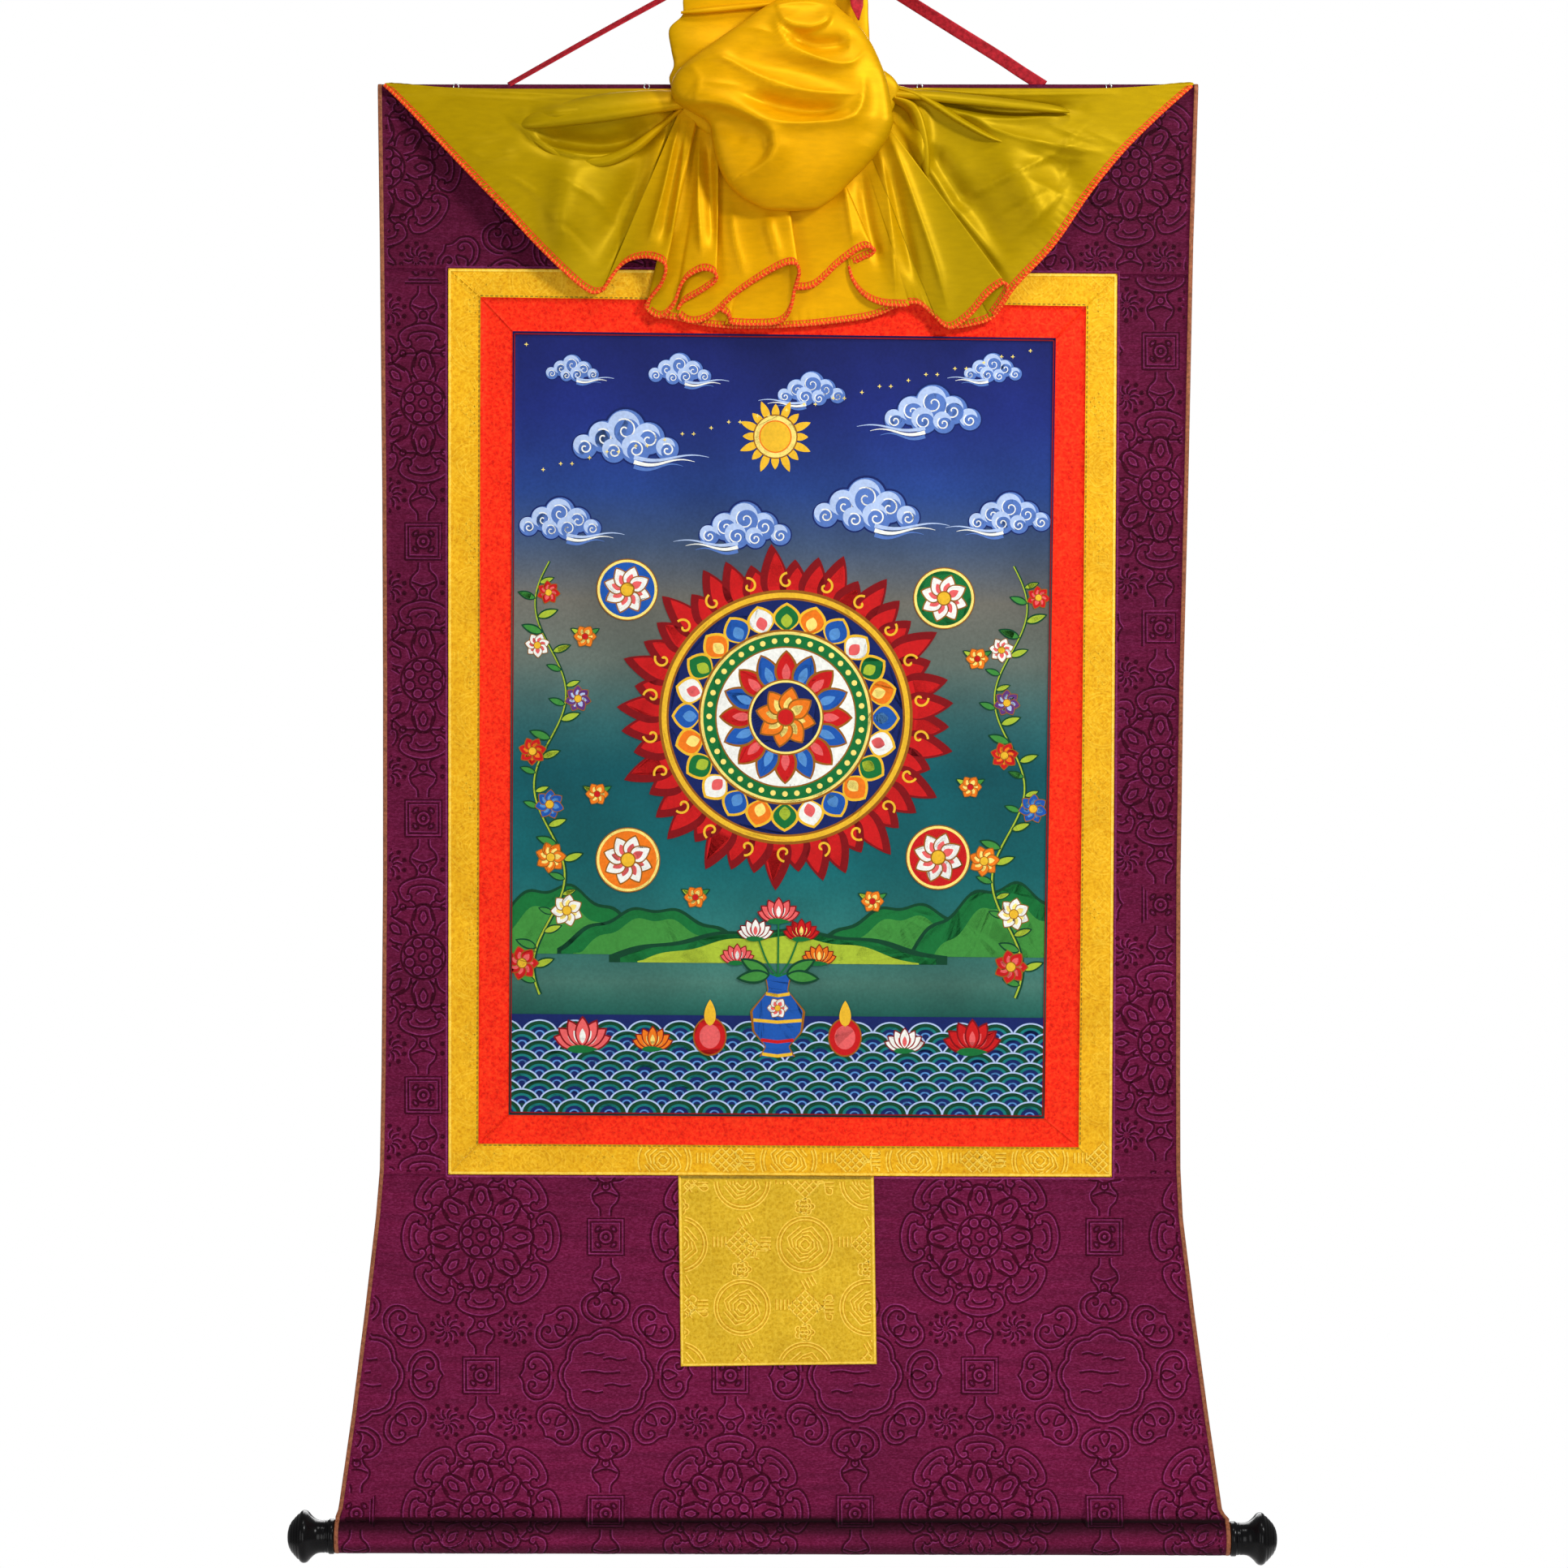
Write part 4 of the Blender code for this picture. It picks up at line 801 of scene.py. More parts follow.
def roundel():
    lines = []
    lobe = softLine([(45, -17), (52, -19), (58, -13), (61, 0), (58, 13), (52, 19), (45, 17)], 24, 2)
    lobeIn = softLine([(47, -12), (53, -10), (55, 0), (53, 10), (47, 12)], 14, 2)
    hook = softLine([(45, -17), (42, -13), (44, -9), (48, -10), (47.5, -13)], 10, 2)
    petal = softLine([(18, -5), (26, -9), (36, -6), (40, 0), (36, 6), (26, 9), (18, 5)], 16, 2)
    heart = softLine([(24, 0), (30, -3.4), (36, 0), (30, 3.4), (24, 0)], 10, 2)
    tendril = softLine([(28, -3.5), (38, -10), (44, -7)], 6, 2)
    fork = softLine([(19.5, -2.2), (22.5, 0), (19.5, 2.2)], 5, 2)
    rib = softLine([(48, -6), (51, -3), (50.5, 3), (48, 6)], 8, 2)
    for k in range(8):
        a = k * math.pi / 4
        lines += [turned(part, a) for part in (lobe, lobeIn, hook, hook * [1, -1], petal, heart)]
        lines += [turned(part, a + math.pi / 8) for part in
                  (tendril, tendril * [1, -1], ringLine(4.2, 14, x=11.4), ringLine(2.4, 10, x=41.0), fork)]
        lines.append(turned(rib, a))
    lines += [ringLine(17.0, 48), ringLine(3.6, 14), ringLine(38.6, 128, 16, 1.6)]
    return lines


def cloudRing():
    lines = [ringLine(33.0, 96, 8, 3.6), ringLine(29.6, 96, 8, 3.2)]
    for x, z, wide in ((-9, 16, 8), (7, 12, 9), (-4, 2, 15), (9, -8, 10), (-10, -13, 8)):  # slubs inside the ring
        lines.append(softLine([(x - wide, z), (x - wide * 0.4, z + 1.0), (x + wide * 0.3, z - 0.6),
                               (x + wide, z + 0.4)], 14, 2))
    for k in range(8):
        lines += [turned(part + [52.0, 0.0], k * math.pi / 4) for part in cloudHead()]
    return lines


def squareMark():
    lines = [np.array([(-h, -h), (h, -h), (h, h), (-h, h), (-h, -h)], float) for h in (14.0, 11.4)]
    lines += [ringLine(5.6, 20), ringLine(2.2, 12)]
    leaf = softLine([(6.5, 0), (8.5, -3), (10.2, 0), (8.5, 3), (6.5, 0)], 10, 2)
    lines += [turned(leaf, k * math.pi / 2 + math.pi / 4) for k in range(4)]
    return lines


def linkMark():  # a little vase between a square and the next roundel, upwards from z 0
    side = softLine([(4, 0), (4.6, 6), (9, 11), (10, 17), (6, 22), (5, 27), (9, 30)], 22, 2)
    band = softLine([(-9, 15), (0, 18), (9, 15)], 8, 2)
    return [side, side * [-1, 1], band, ringLine(3.0, 12, z=22.5)]


def sprayMark():
    lines = []
    for k in range(10):
        a = 2 * np.pi * k / 10
        lines.append(turned(softLine([(2.5, 0), (6, 1.6), (9.5, 0)], 5, 2), a))
        lines.append(turned(ringLine(1.2, 6, x=12.0), a + 0.3))
    return lines


def damaskMarks(box):  # every line of the cloth's pattern inside a box of (x0, x1, z0, z1), from an origin
    x0, x1, z0, z1, origin = box
    wide, tall = damaskPlan["pitch"]
    shapes = {"roundel": roundel(), "ring": cloudRing(), "square": squareMark(), "link": linkMark(),
              "spray": sprayMark()}
    marks = []
    for i in range(-6, 7):
        for j in range(-8, 9):
            x, z = origin[0] + i * wide, origin[1] + j * tall
            marks += [("roundel", x, z, 1), ("ring", x + wide / 2, z - tall / 2, 1), ("square", x + wide / 2, z, 1),
                      ("square", x, z - tall / 2, 1)]
            for up in (-1, 1):
                marks += [("link", x + wide / 2, z + up * 16, up), ("link", x, z - tall / 2 + up * 16, up)]
                marks += [("spray", x + side * 26, z - tall / 2 + up * 35.5, 1) for side in (-1, 1)]
    lines = []
    for kind, x, z, up in marks:
        if x0 - 75 < x < x1 + 75 and z0 - 75 < z < z1 + 75:
            lines += [line * [1, up] + [x, z] for line in shapes[kind]]
    return lines


def strokeStrips(lines, wide, shift, inside):  # flat strips (left and right edges) along lines, cut off outside
    strips = []
    for line in lines:
        along = unit(np.gradient(line, axis=0))
        side = np.column_stack([-along[:, 1], along[:, 0]])
        centre = line + side * shift
        keep = inside(centre[:, 0], centre[:, 1])
        runs = np.split(np.arange(len(line)), np.flatnonzero(~keep))
        for run in runs:
            run = run[keep[run]]
            if len(run) > 1:
                strips.append((centre[run] - side[run] * wide / 2, centre[run] + side[run] * wide / 2))
    return strips


def stripMesh(groups, place):  # groups: (strips, finish number, lift); place turns flat (x, z, lift) into space
    points, quads, marks, start = [], [], [], 0
    for strips, number, lift in groups:
        for left, right in strips:
            count = len(left)
            both = np.vstack([left, right])
            points.append(place(both[:, 0], both[:, 1], lift))
            k = np.arange(count - 1)
            quads.append(np.stack([k, k + 1, k + count + 1, k + count], -1) + start)
            marks.append(np.full(count - 1, number))
            start += 2 * count
    return np.vstack(points), np.vstack(quads), np.concatenate(marks)


def onFront(x, z, lift):
    return np.column_stack([x, clothWave(x, z) - mount["thick"] / 2 - lift, z])


def onRoll(x, z, lift):  # below the crease the flat cloth runs on round the rod
    sleeve = bottomSleeve()
    run = runAlong(sleeve)
    along = unit(np.gradient(sleeve, axis=0))
    out = np.column_stack([along[:, 1], -along[:, 0]])
    crease = rodHeight(x) + sleeve[0][1]
    reach = np.clip(crease - z, 0, run[-1])
    table = np.column_stack([run, sleeve, out])
    y, h, oy, oh = between(table, reach).T
    off = mount["thick"] / 2 + lift
    onFlat = onFront(x, z, lift)
    rolled = np.column_stack([x, y + oy * off, rodHeight(x) + h + oh * off])
    return np.where((z > crease)[:, None], onFlat, rolled)


def damaskLines():
    margin, low = damaskPlan["margin"], damaskPlan["lowest"]

    def area(left, right, top, bottom):
        return lambda x, z: ((x > left(z) + margin) & (x < right(z) - margin)
                             & (z < top(x) - margin) & (z > bottom(x) + margin))

    def west(z):
        return panelEdge(z, -1)

    def east(z):
        return panelEdge(z, 1)

    places = {
        "top": ((-316, 311, -262, -118), onFront,
                area(west, east, lambda x: mount["frontStart"] - 1 + margin, topSeam)),
        "left": ((-316, -260, -955, -258), onFront, area(west, lambda z: frameSide(z, -1), topSeam, bottomSeam)),
        "right": ((244, 305, -955, -262), onFront, area(lambda z: frameSide(z, 1), east, topSeam, bottomSeam)),
        "bottom": ((-348, 335, -1262, -950), onRoll, area(west, east, bottomSeam, lambda x: low - margin)),
    }
    for name, (box, place, inside) in places.items():
        lines = damaskMarks((*box, damaskPlan["origins"][name]))
        dark = strokeStrips(lines, damaskPlan["dark"], 0.0, inside)
        light = strokeStrips(lines, damaskPlan["light"], damaskPlan["dark"] * 0.8, inside)
        if name == "bottom":  # a dark strip of painted shade in the crevice where the cloth turns round the rod
            x = np.linspace(-343.0, 330.0, 260)
            drop, wide = damaskPlan["crevice"]
            dark += strokeStrips([np.column_stack([x, rodHeight(x) + bottomSleeve()[0][1] - drop])], wide, 0.0, inside)
        points, quads, marks = stripMesh([(dark, 0, damaskPlan["lift"]), (light, 1, damaskPlan["lift"] * 0.8)], place)
        addPiece("damask" + name.capitalize(), points, quads, [finishes["purpleDark"], finishes["purpleLight"]],
                 "purple_brocade", faceFinish=marks)
        print("damask", name, len(quads))


topPanel()
sidePanels()
bottomPanel(bindings())
damaskLines()
print("brocade panels made")


def insetCorners(corners, amount):
    signs = [(1, -1), (-1, -1), (-1, 1), (1, 1)]
    return [(x + sx * amount, z + sz * amount) for (x, z), (sx, sz) in zip(corners, signs)]


stripPlan = {
    "yellow": {"slot": "yellow_brocade", "lip": 2.2, "lipRise": 0.45},
    "red": {"slot": "red_silk", "lip": 0.0, "lipRise": 0.0},
}


def acrossCorners(a, b, c, d, u, v):  # the point at shares u and v of a four-cornered cloth
    return (a + (b - a) * u) * (1 - v) + (d + (c - d) * u) * v


def mitredStrips(kind, outer, inner):
    plan = stripPlan[kind]
    outer, inner = insetCorners(outer, mount["seam"]), insetCorners(inner, -mount["seam"])
    for k, side in enumerate(("top", "right", "bottom", "left")):
        after = (k + 1) % 4
        a, b, c, d = (np.array(p) for p in (outer[k], outer[after], inner[after], inner[k]))
        along = (b - a) / np.linalg.norm(b - a) * mount["seam"]
        a, b, c, d = a + along, b - along, c - along, d + along
        wide = (np.linalg.norm(a - d) + np.linalg.norm(b - c)) / 2 * 0.7
        across = np.unique(np.concatenate([np.linspace(0, plan["lip"] * 1.5, 7) / wide, np.linspace(0.2, 1, 12)]))
        u = np.linspace(0, 1, int(np.linalg.norm(b - a) / 3.0))[None, :, None]
        v = across[:, None, None]
        flat = acrossCorners(a, b, c, d, u, v)
        rise = plan["lipRise"] * np.exp(-((across * wide - plan["lip"] / 2) / (plan["lip"] * 0.42 + 1e-6)) ** 2)
        y = clothWave(flat[..., 0], flat[..., 1]) - rise[:, None] / 2
        grid = np.stack([flat[..., 0], y, flat[..., 1]], -1)
        sheetPiece(kind + side.capitalize(), grid, mount["thick"], finishes[kind], plan["slot"],
                   kind + "_strip_" + side)


pictureSky = [  # share of the way down, colour
    (0.00, 22, 30, 92), (0.10, 26, 40, 112), (0.20, 34, 62, 128), (0.27, 60, 78, 108), (0.34, 104, 102, 94),
    (0.42, 96, 108, 100), (0.50, 44, 96, 98), (0.56, 12, 84, 92), (0.68, 14, 96, 100), (0.76, 40, 108, 104),
    (0.83, 66, 112, 100), (0.88, 18, 84, 74), (0.95, 10, 66, 62), (1.00, 30, 74, 78),
]


def paintedGround(u, v):
    colour = between(pictureSky, v[:, 0, 0])[:, None, :] * np.ones((1, u.shape[1], 1))
    drift = 1 + 0.05 * np.sin(u[..., 0] * 9 + v[..., 0] * 5) + 0.04 * np.sin(u[..., 0] * 23 - v[..., 0] * 17)
    colour = np.clip(colour * drift[..., None], 0, 255) / 255
    return np.where(colour > 0.04, ((colour + 0.055) / 1.055) ** 2.4, colour / 12.92).reshape(-1, 3)


ink = {
    "gold": (236, 184, 44), "paleGold": (252, 226, 120), "darkGold": (150, 92, 20), "red": (200, 22, 24),
    "deepRed": (128, 8, 16), "rose": (232, 96, 96), "green": (18, 110, 52), "lime": (168, 190, 52),
    "darkGreen": (8, 66, 40), "blue": (26, 84, 170), "sky": (84, 142, 206), "night": (18, 34, 96),
    "white": (240, 240, 232), "cloud": (176, 196, 232), "cloudShade": (84, 118, 188), "orange": (238, 120, 24),
    "teal": (20, 120, 120), "violet": (96, 52, 120), "leaf": (62, 140, 58),
}
brush = {"points": [], "faces": [], "colours": [], "layer": 0, "step": 0.0004, "edge": 205.5, "low": 1.0, "high": 596.0}


def insidePicture(points):
    return np.column_stack([np.clip(points[:, 0], -brush["edge"], brush["edge"]),
                            np.clip(points[:, 1], brush["low"], brush["high"])])


def lay(points, faces, colour):  # each touch of the brush lies a little over the last
    brush["layer"] += 1
    start = len(brush["points"])
    brush["points"] += list(pictureSpot(points[:, 0], points[:, 1], brush["layer"] * brush["step"] + 0.01))
    brush["faces"] += [tuple(start + k for k in face) for face in faces]
    brush["colours"] += [linear(*ink[colour])] * len(points)


picturePlan = {"wide": 413.0, "tall": 597.0, "clear": 0.02, "columns": 90, "rows": 130, "linen": [0.62, 0.57, 0.47]}


def pictureSpot(x, y, lift):  # x from the picture's middle, y down from its top edge
    a, b, c, d = (np.array(p) for p in mount["picture"])
    u, v = np.asarray(x) / picturePlan["wide"] + 0.5, np.asarray(y) / picturePlan["tall"]
    flat = acrossCorners(a, b, c, d, u[..., None], v[..., None])
    front = -mount["thick"] / 2 - picturePlan["clear"] - lift
    return np.stack([flat[..., 0], np.full(np.shape(x), front), flat[..., 1]], -1)


def fill(points, colour):
    points = insidePicture(np.array(points, float))
    lay(points, [range(len(points))], colour)


def stroke(points, wide, colour):
    points = np.array(points, float)
    along = unit(np.gradient(points, axis=0))
    side = np.column_stack([-along[:, 1], along[:, 0]]) * np.broadcast_to(np.asarray(wide) / 2, (len(points),))[:, None]
    count = len(points)
    lay(insidePicture(np.vstack([points - side, points + side])),
        [(k, k + 1, count + k + 1, count + k) for k in range(count - 1)], colour)


def roundOf(x, y, radius, count=40, tall=1.0):
    a = np.linspace(0, 2 * np.pi, count, endpoint=False)
    return np.column_stack([x + radius * np.cos(a), y + radius * tall * np.sin(a)])


def petalOf(x, y, angle, inner, outer, wide, tip=0.75):
    t = np.linspace(0, 1, 12)
    half = wide / 2 * np.sin(np.pi * t ** tip) ** 0.8
    reach = inner + (outer - inner) * t
    cos, sin = math.cos(angle), math.sin(angle)
    up = np.column_stack([x + reach * cos - half * sin, y + reach * sin + half * cos])
    down = np.column_stack([x + reach * cos + half * sin, y + reach * sin - half * cos])
    return np.vstack([up, down[::-1][1:-1]])


def blossom(x, y, size, outer="red", inner="rose", heart="gold", petals=8, turn=0.0):
    for k in range(petals):
        angle = 2 * np.pi * k / petals + turn
        fill(petalOf(x, y, angle, size * 0.1, size, size * 5.4 / petals), "darkGold")
        fill(petalOf(x, y, angle, size * 0.14, size * 0.93, size * 4.6 / petals), outer)
        fill(petalOf(x, y, angle, size * 0.2, size * 0.66, size * 2.4 / petals), inner)
    fill(roundOf(x, y, size * 0.3, 24), "darkGold")
    fill(roundOf(x, y, size * 0.25, 24), heart)


def lotusOf(x, y, size, outer="rose", inner="white"):  # a lotus seen from the side
    for angle in (-160, -20, -142, -38, -118, -62, -90):
        a = math.radians(angle)
        fill(petalOf(x, y, a, 0, size, size * 0.5, 0.9), "deepRed")
        fill(petalOf(x, y, a, size * 0.06, size * 0.92, size * 0.4, 0.9), outer)
        fill(petalOf(x, y, a, size * 0.12, size * 0.6, size * 0.2, 0.9), inner)
    fill(petalOf(x - size * 0.5, y + size * 0.06, 0.0, 0, size, size * 0.26), "green")


def leafOf(x, y, angle, length, colour="leaf"):
    fill(petalOf(x, y, angle, 0, length, length * 0.42, 0.85), "darkGreen")
    fill(petalOf(x, y, angle, length * 0.06, length * 0.9, length * 0.28, 0.85), colour)


def curl(x, y, radius, turns, start, side=1):
    t = np.linspace(0, 1, 26)
    a = start + side * t * turns * 2 * np.pi
    r = radius * (1 - 0.86 * t)
    return np.column_stack([x + r * np.cos(a), y + r * np.sin(a)])


def cloudOf(x, y, size, side=1):
    lobes = [(-1.5, 0.15, 0.42), (-0.85, -0.2, 0.55), (-0.1, -0.48, 0.68), (0.7, -0.16, 0.56), (1.35, 0.2, 0.4),
             (0.25, 0.2, 0.52), (-0.5, 0.28, 0.42)]
    for shrink, colour in ((1.12, "night"), (1.0, "cloudShade")):
        for dx, dy, r in lobes:
            fill(roundOf(x + side * dx * size, y + dy * size, r * size * shrink, 30), colour)
    for dx, dy, r in lobes:
        fill(roundOf(x + side * dx * size - 0.06 * size, y + (dy - 0.07) * size, r * size * 0.82, 28), "cloud")
        fill(roundOf(x + side * dx * size + 0.05 * size, y + (dy + 0.09) * size, r * size * 0.66, 26), "cloudShade")
        stroke(curl(x + side * dx * size, y + (dy + 0.04) * size, r * size * 0.6, 1.2, -2.2, side), size * 0.05,
               "white")
    for k, reach in enumerate((2.6, 2.1, 1.7)):
        t = np.linspace(0, 1, 18)
        tail = np.column_stack([x + side * size * (0.2 + reach * t), y + size * (0.5 + 0.16 * k + 0.1 * np.sin(t * 6))])
        stroke(tail, size * 0.13 * (1 - t) + 0.3, ("cloud", "white", "cloudShade")[k])


def medallion(x, y, size):
    for k in range(44):  # a ring of pointed petals
        a = 2 * np.pi * k / 44
        lift = 1.0 + 0.06 * math.sin(k * 2.4)
        fill(petalOf(x, y, a + 0.05, size * 0.84, size * 1.16 * lift, size * 0.2, 0.6), "deepRed")
        fill(petalOf(x, y, a + 0.07, size * 0.84, size * 1.1 * lift, size * 0.14, 0.6), "red")
    for k in range(22):
        a = 2 * np.pi * (k + 0.5) / 22
        cx, cy = x + size * 0.96 * math.cos(a), y + size * 0.96 * math.sin(a)
        stroke(curl(cx, cy, size * 0.06, 0.9, a, 1 if k % 2 else -1), size * 0.016, "gold")
    for radius, colour in ((0.9, "darkGold"), (0.88, "gold"), (0.845, "darkGold"), (0.83, "night")):
        fill(roundOf(x, y, size * radius, 96), colour)
    for k in range(24):
        a = 2 * np.pi * k / 24
        fill(petalOf(x, y, a, size * 0.6, size * 0.81, size * 0.2, 1.0), "gold")
        fill(petalOf(x, y, a, size * 0.61, size * 0.79, size * 0.165, 1.0), ("blue", "white", "green", "orange")[k % 4])
        fill(petalOf(x, y, a, size * 0.63, size * 0.73, size * 0.08, 1.0), ("sky", "rose", "lime", "paleGold")[k % 4])
    for radius, colour in ((0.62, "darkGold"), (0.605, "paleGold"), (0.585, "green"), (0.5, "darkGold"),
                           (0.49, "white")):
        fill(roundOf(x, y, size * radius, 80), colour)
    for k in range(40):
        a = 2 * np.pi * k / 40
        fill(roundOf(x + size * 0.543 * math.cos(a), y + size * 0.543 * math.sin(a), size * 0.02, 10), "paleGold")
    for k in range(16):
        a = 2 * np.pi * k / 16
        fill(petalOf(x, y, a, size * 0.2, size * 0.475, size * 0.17, 0.9), "darkGold")
        fill(petalOf(x, y, a, size * 0.21, size * 0.46, size * 0.135, 0.9), ("red", "blue")[k % 2])
        fill(petalOf(x, y, a, size * 0.25, size * 0.38, size * 0.06, 0.9), ("rose", "sky")[k % 2])
    for radius, colour in ((0.27, "darkGold"), (0.26, "paleGold"), (0.245, "night")):
        fill(roundOf(x, y, size * radius, 60), colour)
    blossom(x, y, size * 0.22, "orange", "paleGold", "red", 8, 0.2)


def vine(side):
    t = np.linspace(0, 1, 140)
    x = side * (176 + 12 * np.sin(t * 15 + 0.6))
    y = 505 - 330 * t
    stroke(np.column_stack([x, y]), 3.4 - 1.6 * t, "darkGreen")
    stroke(np.column_stack([x - 0.5, y]), 1.4 - 0.6 * t, "lime")
    for k in range(24):
        i = 4 + int(k * 5.6)
        angle = -0.35 if k % 2 else math.pi + 0.35
        leafOf(x[i], y[i], angle, 15 + 3 * math.sin(k), ("leaf", "lime")[k % 2])
    colours = [("red", "rose"), ("white", "paleGold"), ("orange", "paleGold"), ("blue", "sky"), ("red", "orange"),
               ("violet", "cloud"), ("white", "rose"), ("red", "rose")]
    for k, (outer, inner) in enumerate(colours):
        i = 10 + k * 17
        out = (9 if k % 2 else -9)
        blossom(x[i] + out, y[i], 13.5 - 0.6 * k, outer, inner, "gold", 7, k * 0.4)


def vaseOf(x, y, size):
    t = np.linspace(0, 1, 40)
    half = size * np.interp(t, [0, 0.08, 0.2, 0.45, 0.7, 0.88, 1.0], [0.26, 0.2, 0.17, 0.46, 0.42, 0.2, 0.3])
    level = y + size * 1.5 * t
    for grow, colour in ((1.1, "darkGold"), (1.0, "blue")):
        right, left = np.column_stack([x + half * grow, level]), np.column_stack([x - half * grow, level])
        fill(np.vstack([right, left[::-1]]), colour)
    for share, colour in ((0.24, "gold"), (0.56, "gold"), (0.8, "red"), (0.97, "gold")):
        h, z = float(np.interp(share, t, half)), y + size * 1.5 * share
        stroke([(x - h, z), (x, z + 1.5), (x + h, z)], size * 0.06, colour)
    blossom(x, y + size * 0.62, size * 0.2, "white", "rose", "gold", 6)
    for dx, dy, r, outer, inner in (
            (-0.75, -0.35, 0.34, "rose", "white"), (0.75, -0.35, 0.34, "orange", "paleGold"),
            (-0.42, -0.8, 0.36, "white", "rose"), (0.42, -0.8, 0.36, "red", "paleGold"),
            (0, -1.15, 0.42, "rose", "white")):
        stem = [(x, y + 2), (x + dx * size * 0.5, y + dy * size * 0.3), (x + dx * size, y + dy * size)]
        stroke(softLine(stem, 12, 2), 1.3, "green")
        lotusOf(x + dx * size, y + dy * size + r * size * 0.4, r * size, outer, inner)
    for dx, a in ((-1, math.pi + 0.5), (1, -0.5), (-1, math.pi - 0.1), (1, 0.1)):
        leafOf(x + dx * size * 0.15, y + 1, a, size * 0.62)


def waveBand(top, bottom, step):
    fill([(-206, top), (206, top), (206, bottom), (-206, bottom)], "night")
    arch = np.linspace(np.pi, 2 * np.pi, 18)
    for row, y in enumerate(np.arange(top + 4, bottom, step * 0.5)):
        for x in np.arange(-210 + (row % 2) * step * 0.9, 214, step * 1.8):
            for r, colour in ((1.0, "cloud"), (0.9, "darkGreen"), (0.66, "teal"), (0.5, "night"), (0.28, "sky"),
                              (0.18, "night")):
                fill(np.column_stack([x + step * 0.95 * r * np.cos(arch), y + step * 0.75 * (1 + r * np.sin(arch))]),
                     colour)


def hillOf(x, y, wide, tall, colour, light):
    a = np.linspace(-1, 1, 50)
    crest = y - tall * (1 - np.abs(a) ** 1.7) - tall * 0.07 * np.sin(a * 13 + x)
    low = np.full(50, y + 6.0)
    for drop, tint in ((0, "darkGreen"), (2.2, colour), (tall * 0.28, light)):
        shape = np.column_stack([x + wide * a * (1 - drop / tall * 0.6), np.minimum(crest + drop, y + 5)])
        fill(np.vstack([shape, np.column_stack([shape[:, 0], low])[::-1]]), tint)


def paintedMotifs():
    for x, y, size, side in ((-118, 84, 22, 1), (112, 60, 20, -1), (-30, 150, 19, -1), (66, 134, 22, 1),
                             (-168, 146, 17, 1), (172, 138, 17, -1), (-78, 30, 13, 1), (20, 44, 14, -1),
                             (158, 26, 12, -1), (-160, 30, 11, 1)):
        cloudOf(x, y, size, side)
    for k in range(16):  # the sun, with its rays
        fill(petalOf(-6, 78, 2 * np.pi * k / 16, 14, 25 + 4 * (k % 2), 6), "gold")
    for radius, colour in ((17, "darkGold"), (16, "paleGold"), (12.5, "orange"), (11.5, "gold")):
        fill(roundOf(-6, 78, radius, 40), colour)
    for k in range(34):
        x, y = -196 + 392 * ((k * 0.618) % 1), 10 + 100 * ((k * 0.381) % 1)
        for angle in (0.0, math.pi / 2):
            fill(petalOf(x, y, angle, -1.6, 1.6, 0.8), "paleGold")
    for x, tall in ((-170, 46), (-96, 30), (100, 34), (176, 50)):
        hillOf(x, 468, 74, tall, "green", "leaf")
    hillOf(0, 474, 130, 20, "green", "lime")
    for side in (-1, 1):
        vine(side)
    medallion(4, 292, 108)
    for x, y, r, tint in ((-118, 196, 19, "blue"), (124, 200, 19, "green"), (-116, 402, 20, "orange"),
                          (122, 398, 20, "red")):
        for grow, colour in ((1.24, "darkGold"), (1.2, "paleGold"), (1.1, tint)):
            fill(roundOf(x, y, r * grow, 48), colour)
        blossom(x, y, r, "white", "rose", "gold", 8, 0.3)
    for x, y in ((-150, 232), (-140, 352), (150, 246), (146, 344), (-64, 430), (72, 432)):
        leafOf(x, y, -0.5, 13)
        leafOf(x, y, math.pi + 0.5, 13, "lime")
        blossom(x, y, 9, "orange", "paleGold", "red", 6)
    waveBand(520, 586, 15)
    for x, r, outer, inner in ((-150, 24, "rose", "white"), (-96, 17, "orange", "paleGold"),
                               (98, 17, "white", "rose"), (150, 24, "red", "rose")):
        lotusOf(x, 545, r, outer, inner)
    vaseOf(0, 488, 42)
    for x in (-52, 52):
        for r, colour in ((13, "darkGold"), (12, "red"), (8, "rose")):
            fill(roundOf(x, 536, r, 30, 1.15), colour)
        fill(petalOf(x, 528, -math.pi / 2, 0, 20, 9), "gold")
    for edge in ([(-204.5, 2), (204.5, 2)], [(-204.5, 595), (204.5, 595)], [(-205, 2), (-205, 595)],
                 [(205, 2), (205, 595)]):
        stroke(edge, 1.0, "deepRed")
    return addPiece("brushWork", np.array(brush["points"]), brush["faces"], [finishes["paint"]], "painted_cloth",
                    inks={"ink": np.array(brush["colours"])}, smooth=False)


def pictureSheet():
    a, b, c, d = (np.array(p) for p in insetCorners(mount["picture"], mount["seam"]))
    u = np.linspace(0, 1, picturePlan["columns"])[None, :, None]
    v = np.linspace(0, 1, picturePlan["rows"])[:, None, None]
    flat = acrossCorners(a, b, c, d, u, v)
    grid = np.stack([flat[..., 0], clothWave(flat[..., 0], flat[..., 1]), flat[..., 1]], -1)
    inks = paintedGround(u, v)
    back = 0 * inks + picturePlan["linen"]
    item = addPiece("pictureCloth", *sheetOf(grid, mount["thick"]), [finishes["paint"]], "painted_cloth", ["picture"],
                    inks={"ink": np.vstack([back, inks])})
    motifs = paintedMotifs()


patchPlan = {"wide": 149.0, "tall": 142.0, "ridge": 0.22, "ridgeAt": 1.6, "ridgeHalf": 1.3}


